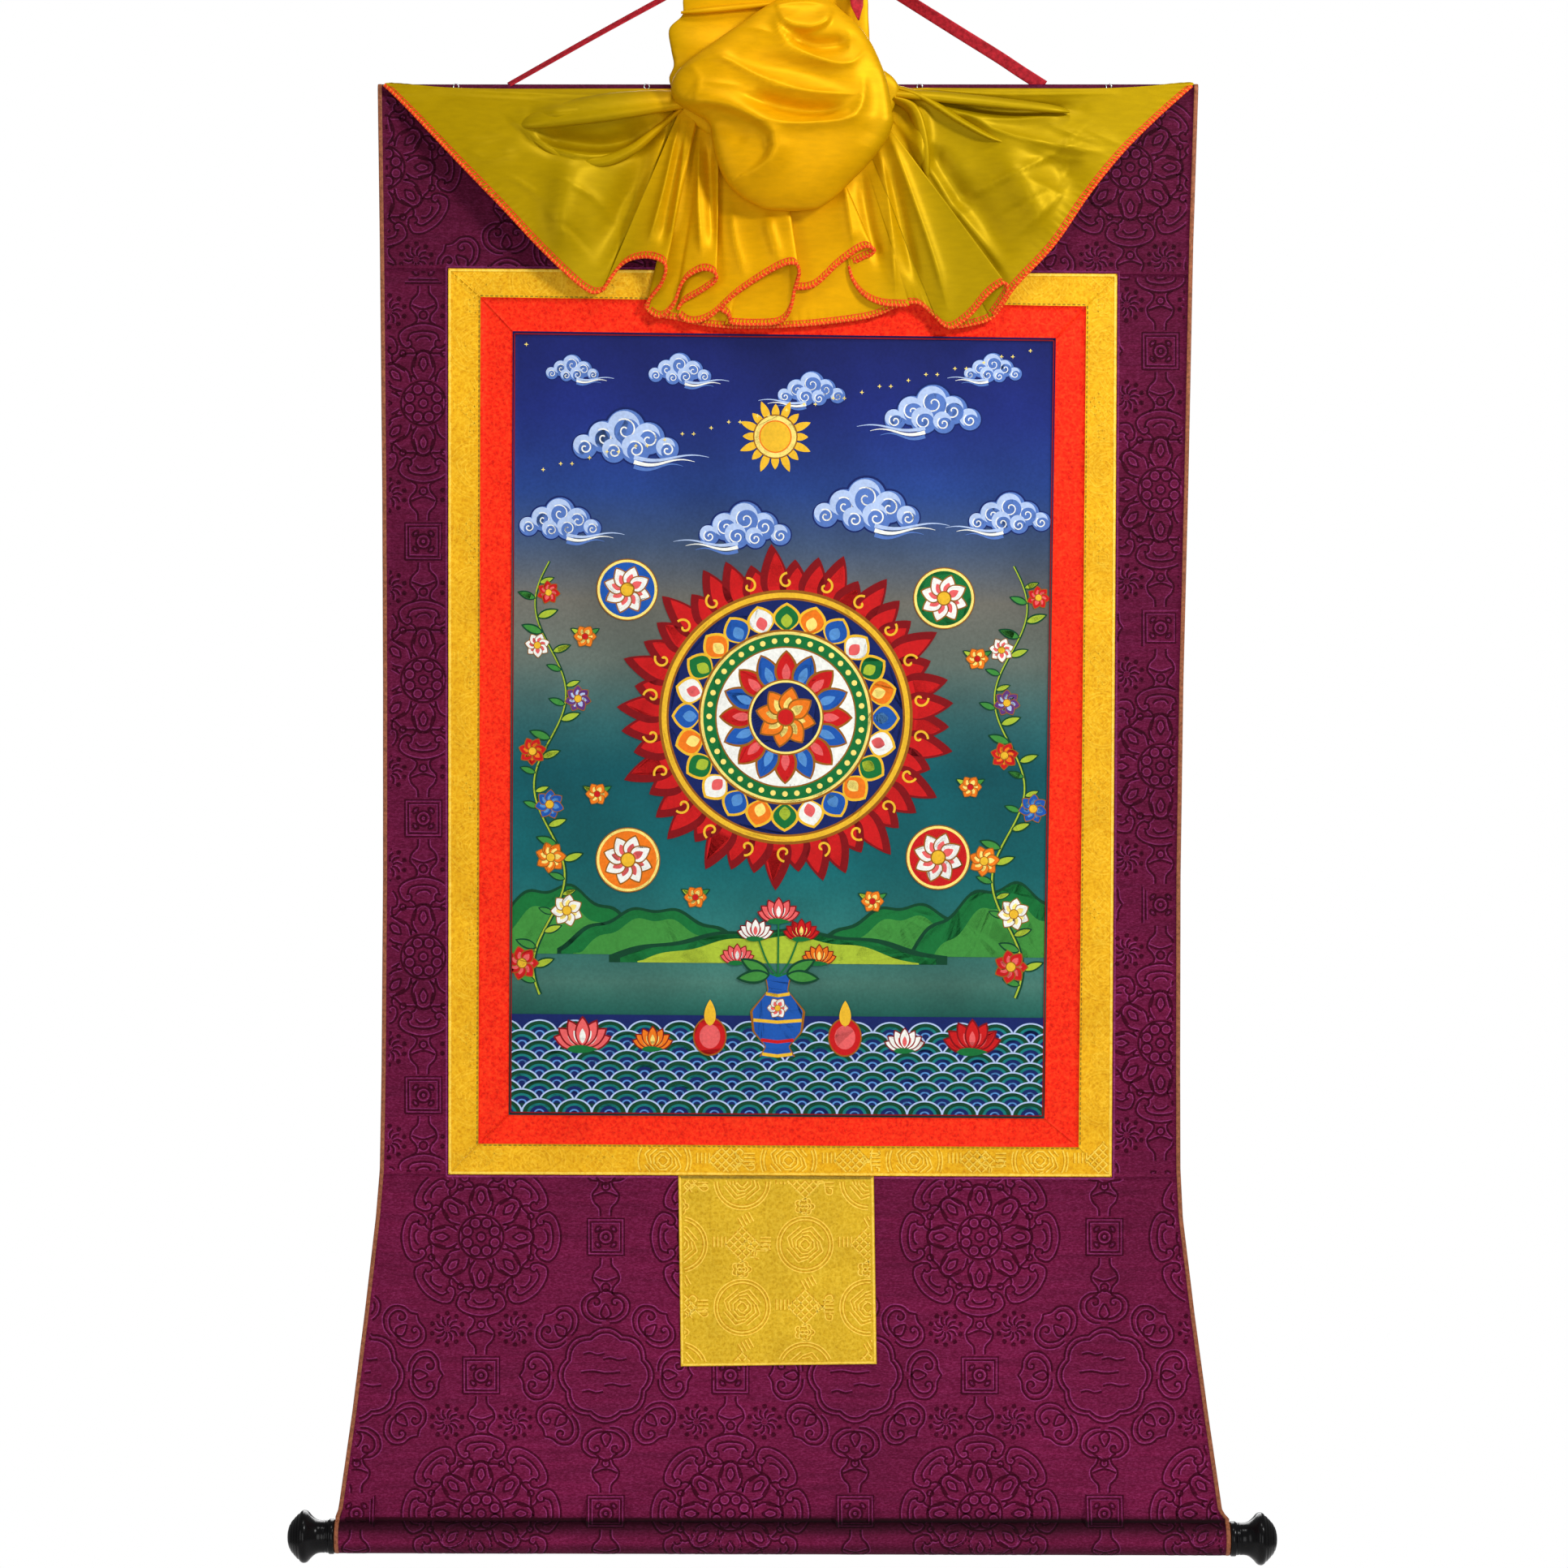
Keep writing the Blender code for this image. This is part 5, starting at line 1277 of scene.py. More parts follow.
def patchSheet():
    a, b, c, d = (np.array(p) for p in mount["patch"])
    even = np.linspace(0, 1, 50)
    rim = np.linspace(0, 0.04, 8)
    even = np.unique(np.round(np.concatenate([rim, even[3:-3], 1 - rim]), 4))
    u, v = even[None, :, None], even[:, None, None]
    flat = acrossCorners(a, b, c, d, u, v)
    middle = -(mount["thick"] / 2 + mount["gap"] + mount["patchThick"] / 2)
    edge = np.minimum(np.minimum(u, 1 - u) * patchPlan["wide"], (1 - v) * patchPlan["tall"])[..., 0]
    ridge = patchPlan["ridge"] * np.exp(-((edge - patchPlan["ridgeAt"]) / patchPlan["ridgeHalf"]) ** 2)
    raised = middle - ridge + clothWave(flat[..., 0], flat[..., 1])
    grid = np.stack([flat[..., 0], raised, flat[..., 1]], -1)
    sheetPiece("doorPatch", grid, mount["patchThick"], finishes["patch"], "yellow_brocade", "door_patch")


threadPlan = {
    "cell": 48.0, "light": 1.0, "dark": 0.7, "patchOrigin": (10.5, -1004.4), "stripOrigin": (-98.0, -940.5),
    "edge": 1.7, "stitch": 0.8, "dash": 2.2, "space": 1.6,
}


def stepLine(points, step=1.2):  # a line of straight runs, cut into short steps
    points = np.asarray(points, float)
    run = runAlong(points)
    where = np.linspace(0, run[-1], max(2, int(run[-1] / step)))
    return np.column_stack([np.interp(where, run, points[:, k]) for k in (0, 1)])


def inQuad(x, z, corners, margin):  # corners run clockwise from the top left
    inside = np.full(np.shape(x), True)
    for (ax, az), (bx, bz) in zip(corners, corners[1:] + corners[:1]):
        away = ((bz - az) * (x - ax) - (bx - ax) * (z - az)) / math.hypot(bx - ax, bz - az)
        inside &= away > margin
    return inside


def threadShapes():
    fret, lattice, bars = [ringLine(21.5, 60), ringLine(19.0, 60)], [], []
    for k in range(4):
        for a in (3.4, 6.6, 9.8, 13.0):
            corner = stepLine([(a, -a * 0.5), (a, a * 0.55), (a * 0.4, a * 0.55 + 3.0)])
            fret.append(turned(corner, k * math.pi / 2 + 0.7))
    for a in np.linspace(-9, 9, 5):
        for turn in (math.pi / 4, -math.pi / 4):
            lattice.append(turned(stepLine([(-10, a), (10, a)]), turn))
    for a in (-4.5, -1.5, 1.5, 4.5):
        bars.append(stepLine([(a, -4), (a, 4)]))
    scroll = softLine([(-6, 1), (-5, 5), (-1, 5), (0, 1), (1, -4), (5, -5), (6, -1), (3.4, 0)], 22, 2)
    return {"round": fret, "lattice": lattice, "bars": bars, "scroll": [scroll, scroll * [1, -1] + [0, 9]],
            "tuft": [ringLine(4.4, 30, 5, 2.0), ringLine(1.5, 10)]}


def threadMarks(origin, reach):  # the yellow cloth's pattern over a box of (x0, x1, z0, z1)
    shapes, lines, cell = threadShapes(), [], threadPlan["cell"]
    x0, x1, z0, z1 = reach
    for i in range(int((x0 - origin[0]) // cell) - 1, int((x1 - origin[0]) // cell) + 2):
        for j in range(int((z0 - origin[1]) // cell) - 1, int((z1 - origin[1]) // cell) + 2):
            x, z = origin[0] + i * cell, origin[1] + j * cell
            if (i + j) % 2 == 0:
                marks = [("round", 0, 0, 0.0), ("bars", -30, 1, math.pi / 2), ("tuft", 1, 29, 0.0)]
            else:
                marks = [("lattice", 0, 0, 0.0), ("bars", -17, 2, 0.0), ("scroll", 15, -5, 0.7 * (i % 3)),
                         ("tuft", -2, -19, 0.0), ("bars", 3, 19, 0.5)]
            for kind, dx, dz, turn in marks:
                lines += [turned(line, turn, x + dx, z + dz) for line in shapes[kind]]
    return lines


def dashes(corners):
    lines, period = [], threadPlan["dash"] + threadPlan["space"]
    for a, b in zip(corners, corners[1:] + corners[:1]):
        a, b = np.array(a), np.array(b)
        length = np.linalg.norm(b - a)
        for start in np.arange(1.0, length - period, period):
            lines.append(np.array([a + (b - a) * s / length for s in (start, start + threadPlan["dash"])]))
    return lines


def outline(corners, sides=(0, 1, 2, 3)):
    ring = corners + corners[:1]
    return [stepLine([ring[k], ring[k + 1]], 3.0) for k in sides]


def threadWork():
    plan, frameOut, frameIn = threadPlan, mount["yellow"], mount["red"]

    def inStrips(x, z):  # the bottom strip's threads catch the light right of its left end
        return inQuad(x, z, frameOut, 2.6) & ~inQuad(x, z, frameIn, -2.4), (z < -925.0) & (x > -118.0)

    def bright(x, z):
        within, lit = inStrips(x, z)
        return within & lit

    def dull(x, z):
        within, lit = inStrips(x, z)
        return within & ~lit

    def inPatch(x, z):
        return inQuad(x, z, mount["patch"], 3.0)

    def anywhere(x, z):
        return np.full(np.shape(x), True)

    def onPatch(x, z, lift):
        return onFront(x, z, lift + mount["gap"] + mount["patchThick"])

    marks = threadMarks(plan["stripOrigin"], (-264.0, 252.0, -955.0, -260.0))
    light = strokeStrips(marks, plan["light"], 0.0, bright)
    # painted shade: a dark line beside each raised thread, to show its relief
    dark = strokeStrips(marks, plan["dark"], plan["light"] * 0.85, bright)
    faint = strokeStrips(marks, plan["light"], 0.0, dull)
    # a painted highlight along the yellow frame's turned outer edge
    edges = strokeStrips(outline(insetCorners(frameOut, 1.2)), plan["edge"], 0.0, anywhere)
    stitches = strokeStrips(dashes(insetCorners(frameIn, -1.1)), plan["stitch"], 0.0, anywhere)
    points, quads, kinds = stripMesh([(light, 0, 0.14), (dark, 1, 0.1), (edges, 0, 0.36), (stitches, 2, 0.2),
                                      (faint, 3, 0.14)], onFront)
    coats = [finishes["yellowLight"], finishes["yellowDark"], finishes["olive"], finishes["yellowFaint"]]
    addPiece("stripThreads", points, quads, coats, "yellow_brocade", faceFinish=kinds)
    marks = threadMarks(plan["patchOrigin"], (-87.0, 66.0, -1098.0, -954.0))
    light = strokeStrips(marks, plan["light"], 0.0, inPatch)
    # painted shade: a dark line beside each raised thread, to show its relief
    dark = strokeStrips(marks, plan["dark"], plan["light"] * 0.85, inPatch)
    # a painted highlight along the patch's turned left, right and bottom edges
    edges = strokeStrips(outline(insetCorners(mount["patch"], 1.2), (1, 2, 3)), 1.5, 0.0, anywhere)
    # a painted shadow along the patch's top edge, under the frame, in the olive stitch colour
    shade = strokeStrips(outline(insetCorners(mount["patch"], 1.1), (0,)), 1.8, 0.0, anywhere)
    points, quads, kinds = stripMesh([(light, 0, 0.14), (dark, 1, 0.1), (edges, 0, 0.34), (shade, 2, 0.3)], onPatch)
    addPiece("patchThreads", points, quads, coats, "yellow_brocade", faceFinish=kinds)
    # a painted highlight along the purple seam just outside the yellow frame
    rim = strokeStrips(outline(insetCorners(frameOut, -1.5)), 1.3, 0.0, anywhere)
    points, quads, kinds = stripMesh([(rim, 0, 0.12)], onFront)
    addPiece("seamHighlight", points, quads, [finishes["purpleLight"]], "purple_brocade", faceFinish=kinds)
    print("threads", len(quads))


mitredStrips("yellow", mount["yellow"], mount["red"])
mitredStrips("red", mount["red"], mount["picture"])
pictureSheet()
patchSheet()
threadWork()
print("strips, picture and patch made")


knobPlan = {  # profile: distance out from the cloth's edge, and radius
    "profile": [(0.3, 0.5), (0.3, 12), (0.8, 12.9), (1.4, 13.3), (4.2, 13.3), (4.9, 12.9), (5.3, 12.2), (6.2, 12.4),
                (7.2, 12.2), (7.7, 11.9), (8.2, 12.3), (10.5, 12.2), (13, 12.5), (15, 13.3), (17, 14.8),
                (18.8, 16.5), (20.2, 18.2), (21.4, 19.3), (22.6, 19.8), (24, 20), (25.2, 19.7), (26.4, 18.9),
                (27, 18), (27.4, 17.4), (28.4, 17), (29.2, 16.3), (29.5, 15.5), (30.4, 15), (31.4, 13.9),
                (31.8, 13.1), (32.8, 12.4), (33.8, 10.9), (34.2, 9.9), (35, 8.8), (35.6, 7),
                (36.2, 4.4), (36.5, 2), (36.6, 0.4)],
    "sides": 96,
}


def knobs():
    for side, name, node in ((-1, "leftKnob", "knob_left"), (1, "rightKnob", "knob_right")):
        endX = float(sideEdge(mount["rollEdge"], side))
        turn = np.linspace(0, 2 * np.pi, knobPlan["sides"], endpoint=False)
        rings = np.array([np.column_stack([0 * turn + endX + side * out, radius * np.cos(turn),
                                           rodHeight(endX) + radius * np.sin(turn)])
                          for out, radius in knobPlan["profile"]])
        if side > 0:
            rings = rings[:, ::-1]
        addPiece(name, *ringsOf(rings), [finishes["lacquer"]], "black_lacquer", [node])


ringPlan = {"places": [-256.0, -110.4, 98.0, 242.4], "radius": 2.0, "wire": 0.45, "drop": 2.6, "size": (48, 14)}


def hangingRings():
    middle = -(mount["thick"] / 2 + mount["gap"] + ringPlan["wire"])
    a, b = (np.linspace(0, 2 * np.pi, count, endpoint=False) for count in ringPlan["size"])
    a, b = np.meshgrid(a, b, indexing="ij")
    quads = gridQuads(len(a) + 1, a.shape[1], closed=True) % a.size
    for number, x in enumerate(ringPlan["places"], 1):
        radius = ringPlan["radius"] + ringPlan["wire"] * np.cos(b)
        points = np.stack([x + radius * np.cos(a), middle + ringPlan["wire"] * np.sin(b),
                           mount["topEdge"] - ringPlan["drop"] + radius * np.sin(a)], -1)
        addPiece("topRing" + str(number), points.reshape(-1, 3), quads, [finishes["steel"]], "ring_steel",
                 ["eyelet_" + str(number)])


for node in ("batten", "roller_rod"):
    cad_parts[node].material_slots[0].material = finishes["wood"]
knobs()
hangingRings()
print("knobs and rings made")


veilPlan = {
    "cut": 0.62, "billow": 7, "squareness": 0.8, "pleatFolds": slice(10, 23), "backmost": -1.6,
    "hem": [(-263, -122.4, -2, 0.00), (-288, -119, -2.1, 0.004), (-310, -118, -2.2, 0.008),
            (-306, -123.6, -2.4, 0.014), (-291, -139, -5.5, 0.05), (-255, -177.5, -9.5, 0.10),
            (-221, -213, -12, 0.15), (-187, -249, -11, 0.20), (-158, -275, -8, 0.24), (-145, -277, -6, 0.262),
            (-135, -262, -6, 0.272), (-119, -248, -6, 0.288), (-104, -250, -6, 0.305), (-99, -262, -6, 0.32),
            (-106, -279, -5.8, 0.332), (-108, -293, -5.4, 0.345), (-88, -298, -5.4, 0.40), (-62, -303, -5.4, 0.46),
            (-35, -304.5, -5, 0.50), (0, -303.5, -4.8, 0.55), (29, -301, -5.2, 0.60), (62, -296, -6, 0.65),
            (82, -288, -7.4, 0.68), (97, -286.5, -9, 0.70), (108, -295, -8.6, 0.72), (121, -304, -7.6, 0.74),
            (136, -303, -6.6, 0.765), (152, -298, -6, 0.80), (160, -289, -6, 0.81), (171, -273, -6.4, 0.83),
            (200, -242, -7, 0.87), (226, -204, -7, 0.91), (252, -171.5, -6, 0.95), (277, -146, -4.2, 0.975),
            (301, -124, -2.4, 0.988), (307, -117.6, -2.2, 0.992), (286, -118.6, -2.1, 0.996),
            (262, -122.2, -2, 1.00)],
    "neck": [(0.00, -88, -122.6, -4.6), (0.10, -84, -129, -6.4), (0.25, -80, -138, -8.4), (0.40, -62, -150, -11),
             (0.53, -14, -158, -12), (0.68, 42, -154, -11), (0.80, 70, -140, -9.4), (0.92, 74, -129, -6.6),
             (1.00, 78, -122.2, -4.6)],
    "pleats": {
        "first": (
            [(-144, -277, -8, 0), (-129, -257, -10, 0.3), (-112, -252, -14.5, 0.6),
             (-98, -256, -18, 0.85), (-95.5, -263, -17, 0.94), (-100, -274, -13, 1),
             (-109, -285, -8.6, 1.08), (-112, -293, -6.4, 1.15)],
            [(0, -82, -134, -15), (0.85, -72, -146, -14.6), (1, -71, -147, -12.6),
             (1.15, -76, -145, -10)]),
        "second": (
            [(-109, -292, -6.6, 0), (-100, -297, -8, 0.1), (-90, -288, -10, 0.25),
             (-82, -270, -13.5, 0.45), (-68, -262, -17, 0.7), (-58, -265, -19, 0.85),
             (-58, -271, -17.4, 0.94), (-70, -279, -13.2, 1), (-83, -286, -9.2, 1.08),
             (-88, -294, -7, 1.15)],
            [(0, -70, -147, -10.5), (0.85, -55, -153, -15.2), (1, -53.5, -154, -11.2),
             (1.15, -58, -152, -10.6)]),
        "third": (
            [(-86, -295, -7.2, 0), (-77, -301, -8.4, 0.08), (-62, -297, -10.4, 0.2),
             (-42, -280, -14, 0.4), (-15, -263, -18.4, 0.65), (1, -257.5, -21.6, 0.85),
             (6, -264, -20.4, 0.94), (2, -279, -16.6, 1), (-1, -292, -13.8, 1.04),
             (-9, -301.5, -11.4, 1.08), (-28, -303, -9.6, 1.12), (-50, -302, -8.6, 1.15)],
            [(0, -55, -152, -11), (0.85, -10, -160, -17), (1, -8, -161, -12.6),
             (1.15, -16, -159, -12)]),
        "middle": (
            [(-27, -272, -7.6, 0), (-12, -273.5, -8.4, 0.15), (4, -275.5, -9.2, 0.32),
             (18, -273, -10.2, 0.48), (36, -257, -12.4, 0.65), (54, -245, -14.8, 0.8),
             (62, -245.5, -15.4, 0.88), (62.5, -249, -13.4, 1), (55, -252.5, -11.4, 1.06),
             (46, -257, -10.2, 1.15)],
            [(0, -12, -160, -12.5), (0.85, 24, -159, -15.6), (1, 25.5, -159, -12),
             (1.15, 20, -159.5, -11.4)]),
        "inner": (
            [(-60, -283, -9, 0), (-56, -290, -10.5, 0.3), (-48, -296, -11, 0.6), (-46, -303, -9, 1)],
            [(0, -40, -200, -9), (1, -26, -200, -9)]),
        "small": (
            [(44, -258, -8.8, 0), (47, -269, -9.4, 0.2), (56, -281, -10.2, 0.5),
             (70, -287.5, -10.8, 0.8), (90, -288.5, -10, 1)],
            [(0, 18, -159, -10), (1, 48, -154, -11)]),
        "right": (
            [(110, -297, -9, 0), (121, -305.5, -10.6, 0.15), (136, -296, -12.4, 0.4),
             (150, -280, -14.8, 0.65), (162, -272, -17, 0.85), (164, -279, -14.8, 0.94),
             (158, -289, -10.6, 1.05), (152, -297, -7.6, 1.15)],
            [(0, 52, -152, -11), (0.85, 66, -142, -14.6), (1, 67.5, -141, -10.8),
             (1.15, 64, -142.5, -10.4)]),
    },
    # folds: depth (ridges below zero), half width, line of (x, z)
    "folds": [
        (-13, 9.5, [(-92, -140), (-127, -140), (-167, -143), (-198, -147)], "soft"),
        (-8, 9, [(-208, -153), (-188, -168), (-161, -177), (-136, -175), (-115, -166), (-94, -148)], "step"),
        (15, 8.5, [(-196, -158), (-168, -166), (-136, -167), (-106, -156)], "soft"),
        (-2.2, 3, [(-257, -124), (-170, -128), (-92, -130)], "crisp"),
        (-1.8, 4, [(-270, -128), (-183, -133), (-133, -131)], "crisp"),
        (-10, 15, [(-160, -160), (-172, -215), (-180, -274)], "broad"),
        (12, 14, [(-102, -162), (-124, -212), (-146, -266)], "broad"),
        (-2.4, 4, [(-208, -172), (-232, -178), (-248, -170)], "crisp"),
        (-1.8, 2.4, [(-186, -190), (-152, -206), (-128, -230)], "crease"),
        (-5, 9, [(-140, -267), (-126, -237), (-111, -206), (-92, -151)], "step"),
        (-4.5, 3.4, [(-86, -151), (-97, -200), (-108, -240)], "crisp"),
        (-4, 3.4, [(-80, -153), (-86, -203), (-91, -234)], "crisp"),
        (4, 4, [(-82, -159), (-92, -209), (-99, -246)], "soft"),
        (-4.5, 3.6, [(-70, -159), (-71, -209), (-68, -252)], "crisp"),
        (4.5, 4, [(-63, -166), (-61, -209), (-59, -246)], "soft"),
        (-3.5, 5, [(-46, -215), (-43, -240), (-35, -267)], "crisp"),
        (-3.5, 5, [(-19, -221), (-14, -240), (-8, -259)], "soft"),
        (-4, 5, [(40, -197), (44, -221), (48, -246)], "crisp"),
        (4, 5, [(53, -190), (60, -228), (68, -259)], "soft"),
        (-4.5, 5, [(66, -166), (74, -209), (78, -259), (80, -285)], "crisp"),
        (-5, 5, [(74, -157), (91, -203), (108, -252), (118, -288)], "crisp"),
        (4.5, 5, [(73, -178), (85, -228), (95, -271)], "soft"),
        (-6, 15, [(80, -151), (101, -181), (122, -213), (146, -243), (168, -273)], "step"),
        (9, 9, [(104, -168), (119, -192), (134, -216)], "soft"),
        (-7, 6, [(96, -136), (99, -159), (100, -187)], "soft"),
        (-6, 6, [(84, -128), (133, -144), (161, -158), (208, -168), (239, -172)], "crisp"),
        (6, 5, [(125, -135), (170, -139), (220, -138)], "soft"),
        (-5.5, 4.5, [(121, -143), (164, -147), (214, -140)], "crisp"),
        (-3, 3, [(84, -121), (152, -127), (245, -126)], "crisp"),
        (-2.6, 2, [(118, -213), (182, -182), (240, -153)], "crease"),
        (-9, 14, [(150, -154), (182, -206), (206, -256)], "broad"),
        (10, 13, [(124, -186), (148, -230), (170, -272)], "broad"),
        (7.5, 14, [(188, -160), (214, -192), (236, -220)], "broad"),
        (-1.8, 3, [(170, -190), (208, -206), (226, -224)], "crease"),
        (-1.8, 2, [(160, -246), (196, -214), (226, -176)], "crease"),
        (-1.8, 1.8, [(190, -148), (214, -158), (244, -166)], "crease"),
        (-1.6, 1.8, [(176, -166), (204, -176), (236, -178)], "crease"),
        (-1.8, 2, [(214, -206), (206, -184), (212, -160), (232, -144)], "crease"),
        (1.6, 2, [(150, -226), (178, -212), (206, -196)], "crease"),
        (-1.6, 2, [(-232, -186), (-206, -196), (-182, -214)], "crease"),
        (-1.6, 2.2, [(-256, -160), (-236, -164), (-214, -158)], "crease"),
        (1.8, 2.4, [(-186, -224), (-168, -232), (-150, -250)], "crease"),
        (-2, 3, [(220, -153), (245, -163), (259, -169)], "crease"),
    ],
    "neckLoft": [
        (6, 1.6, 2.4, -4.4, -3.6), (6.8, -2.5, 6.5, -8.5, 0.5), (6.2, -7.5, 11.5, -12.4, 4.4),
        (4.5, -15, 18, -17, 8.5), (-2, -21, 24, -20, 11), (-10, -25, 27, -20, 10.5), (-17, -29, 28.5, -19, -5),
        (-26, -38, 31.5, -15, -5.2), (-36, -54, 42, -13, -5.2), (-46, -73, 53, -13, -5), (-54, -82, 58, -13.4, -5),
        (-67, -83, 58.6, -14.4, -4.6), (-78, -93, 59.2, -16, -4.2), (-94, -91.5, 60.5, -22, -3.8),
        (-106, -89.5, 66, -22, -3.6), (-116, -93, 78, -22, -3.6), (-126, -90, 82, -21, -3.6),
        (-142, -84, 76, -20, -4), (-164, -56, 60, -18, -5.5)],
    "pouchLoft": [
        (-56, 9, 10, -24.4, -23.6), (-55.8, 2, 17, -26, -22), (-56.5, -7, 26, -27, -21), (-60, -14, 31, -32, -17),
        (-68, -26, 39.5, -37, -14), (-78, -40, 50.5, -41, -12), (-92, -60, 60.5, -44, -11),
        (-107, -80, 67.5, -46, -10), (-118, -89, 71.5, -47, -10), (-129, -91, 74, -48, -10),
        (-138, -86, 75.5, -48, -10), (-145, -74, 76.5, -48, -10), (-153, -62.5, 77, -48, -10),
        (-167, -60, 71, -46, -10), (-184, -55.5, 57.5, -43, -11), (-198, -48.5, 43.5, -39, -13),
        (-208, -38, 33.5, -35, -16), (-214, -27, 25, -31, -19), (-217, -20, 19, -28, -20),
        (-218.3, -8, 10, -25, -22), (-218.6, 0.6, 1.4, -23.9, -23.5)],
    "pouchFolds": [
        (-1.6, 2.2, [(-82, -92), (-60, -84), (-30, -82), (-10, -90)], "crisp"),
        (-1.6, 2, [(-48, -74), (-20, -66), (8, -62), (30, -64)], "crisp"),
        (-1.4, 2, [(-66, -124), (-40, -128), (-20, -138)], "crisp"),
        (-1.6, 2.4, [(60, -88), (66, -104), (70, -124)], "crisp"),
        (-1.8, 2.4, [(-76, -110), (-70, -122), (-72, -136)], "crisp"),
        (-5.5, 9, [(-11, -68), (-7, -78), (4, -84), (17, -84), (28, -78), (32, -65)], "step"),
        (9, 7, [(-2, -88), (18, -96), (44, -93)], "soft"),
        (-5.5, 4, [(-12, -73), (-6, -90), (9, -101), (28, -109), (43, -110), (55, -100)], "crisp"),
        (-5, 3.4, [(-59, -101), (-25, -120), (-2, -129), (24, -133), (50, -133)], "crisp"),
        (6, 9, [(-52, -111), (-16, -110), (26, -119), (48, -119)], "broad"),
        (9, 6.5, [(-35, -133), (-11, -142), (16, -146), (40, -144)], "soft"),
        (-5, 3.6, [(-22, -153), (-2, -156), (20, -155), (43, -152), (53, -140), (55, -121)], "crisp"),
        (-8, 13, [(-89, -133), (-80, -142), (-63, -142), (-46, -146), (-30, -153), (-19, -161), (-15, -170),
                  (-20, -182), (-34, -191)], "step"),
        (4, 8, [(-65, -152), (-46, -158), (-33, -169)], "soft"),
        (4, 9, [(61, -113), (65, -141), (56, -172)], "soft"),
        (-2.6, 4, [(-82, -113), (-65, -106), (-46, -108)], "crisp"),
    ],
    "rolls": [
        ([(-80, -133, -17, 7, 7), (-108, -135, -17, 10, 8.5), (-142, -139, -16.5, 11.5, 9), (-176, -144, -15.5, 10, 8),
          (-198, -149, -14, 6.5, 5.5), (-209, -152, -12, 1.5, 1.5)], 0.55),
        ([(-84, -140, -15, 1.5, 2), (-104, -157, -15.5, 3, 3.6), (-122, -171, -15, 4, 4), (-146, -180, -14, 4.4, 4),
          (-172, -176, -13, 3.6, 3.4), (-191, -166, -12.4, 2.4, 2.6), (-205, -155, -12, 0.8, 1)], 0),
        ([(76, -127, -10, 3.5, 4), (112, -130, -13, 4.6, 5), (160, -135, -13.4, 4.4, 5), (198, -139, -12, 3.4, 4),
          (212, -141, -9.5, 0.8, 1)], -0.5),
        ([(80, -122, -8, 2, 3), (100, -130, -13, 3, 4.6), (128, -148, -14.4, 3, 4.6), (152, -161, -13.6, 2.2, 3.4),
          (172, -167, -11, 0.6, 1)], -0.5),
        ([(78, -132, -13, 2, 4), (92, -140, -14, 4.4, 5), (99, -160, -14, 4.6, 5), (102, -182, -13, 3.4, 4),
          (103, -196, -11, 0.8, 1)], 0.5),
        ([(-84, -66, -13, 1, 2), (-70, -65, -14.5, 2.4, 3.4), (-42, -62.5, -15, 2.8, 3.6), (-14, -60, -17, 2, 3.6),
          (0, -57.5, -18, 0.8, 1)], -0.3),
    ],
    "skirtSize": (400, 66), "pleatSize": (84, 38), "loftSize": (128, 110), "pouchSize": (160, 140),
    "rollSize": (60, 28),
}


def foldDepth(x, z, folds):
    total = np.zeros(np.shape(x))
    for depth, width, line, kind in folds:
        away, along, side = lineDistance(x, z, softLine(line, 14, 2))
        if kind in ("broad", "crease"):  # these fade out slowly towards both ends
            taper = np.sin(np.pi * np.clip(along, 0, 1)) ** 1.3
        else:
            taper = np.clip(np.sin(np.pi * (along * 0.9 + 0.05)) * 1.6, 0, 1)
        if kind in ("soft", "broad"):
            shape = np.exp(-(away / width) ** 2)
        elif kind in ("crisp", "crease"):
            shape = np.exp(-(away / width) ** 1.15)
        else:  # a step: the cloth on the line's left lies over that on its right
            shape = 0.5 * (1 + np.tanh(side * away / (width * 0.16))) * np.exp(-(away / width) ** 2)
        total = total + depth * taper * shape
    return total


def fanGrid(hem, neck, columns, rows, folds, billow=0.0):
    line = softLine(hem, columns, 2)
    v = (np.linspace(0, 1, rows) ** 0.85)[:, None]
    root = between(neck, line[:, 3])
    x = root[:, 0] + (line[:, 0] - root[:, 0]) * v
    ends = np.exp(-(np.minimum(line[:, 3], 1 - line[:, 3]) / 0.012) ** 2) if billow else 0.0
    z = root[:, 1] + (line[:, 1] - root[:, 1]) * v ** (1 + 7 * ends)  # only the corners reach the top edge
    y = root[:, 2] + (line[:, 2] - root[:, 2]) * v
    flutter = np.clip(np.sin(np.pi * np.minimum(1.0, v * 0.97 + 0.02)) * 2.2, 0, 1)
    share = line[:, 3][None]
    wing = np.exp(-((share - 0.13) / 0.11) ** 2) + 0.7 * np.exp(-((share - 0.9) / 0.08) ** 2) if billow else 0.0
    y = y + foldDepth(x, z, folds) * flutter - billow * wing * np.sin(np.pi * np.clip(v * 0.75, 0, 1))
    run = runAlong(line[:, :2])[None]
    pucker = np.sin(run / 6.6 * 2 * np.pi + 2 * np.sin(run / 31.0)) * (0.6 + 0.4 * np.sin(run / 23.0))
    y = y + 0.8 * pucker * np.exp(-((1 - v) / 0.055) ** 2) * (billow > 0)
    return np.stack([x, np.minimum(y, veilPlan["backmost"]), z], -1)


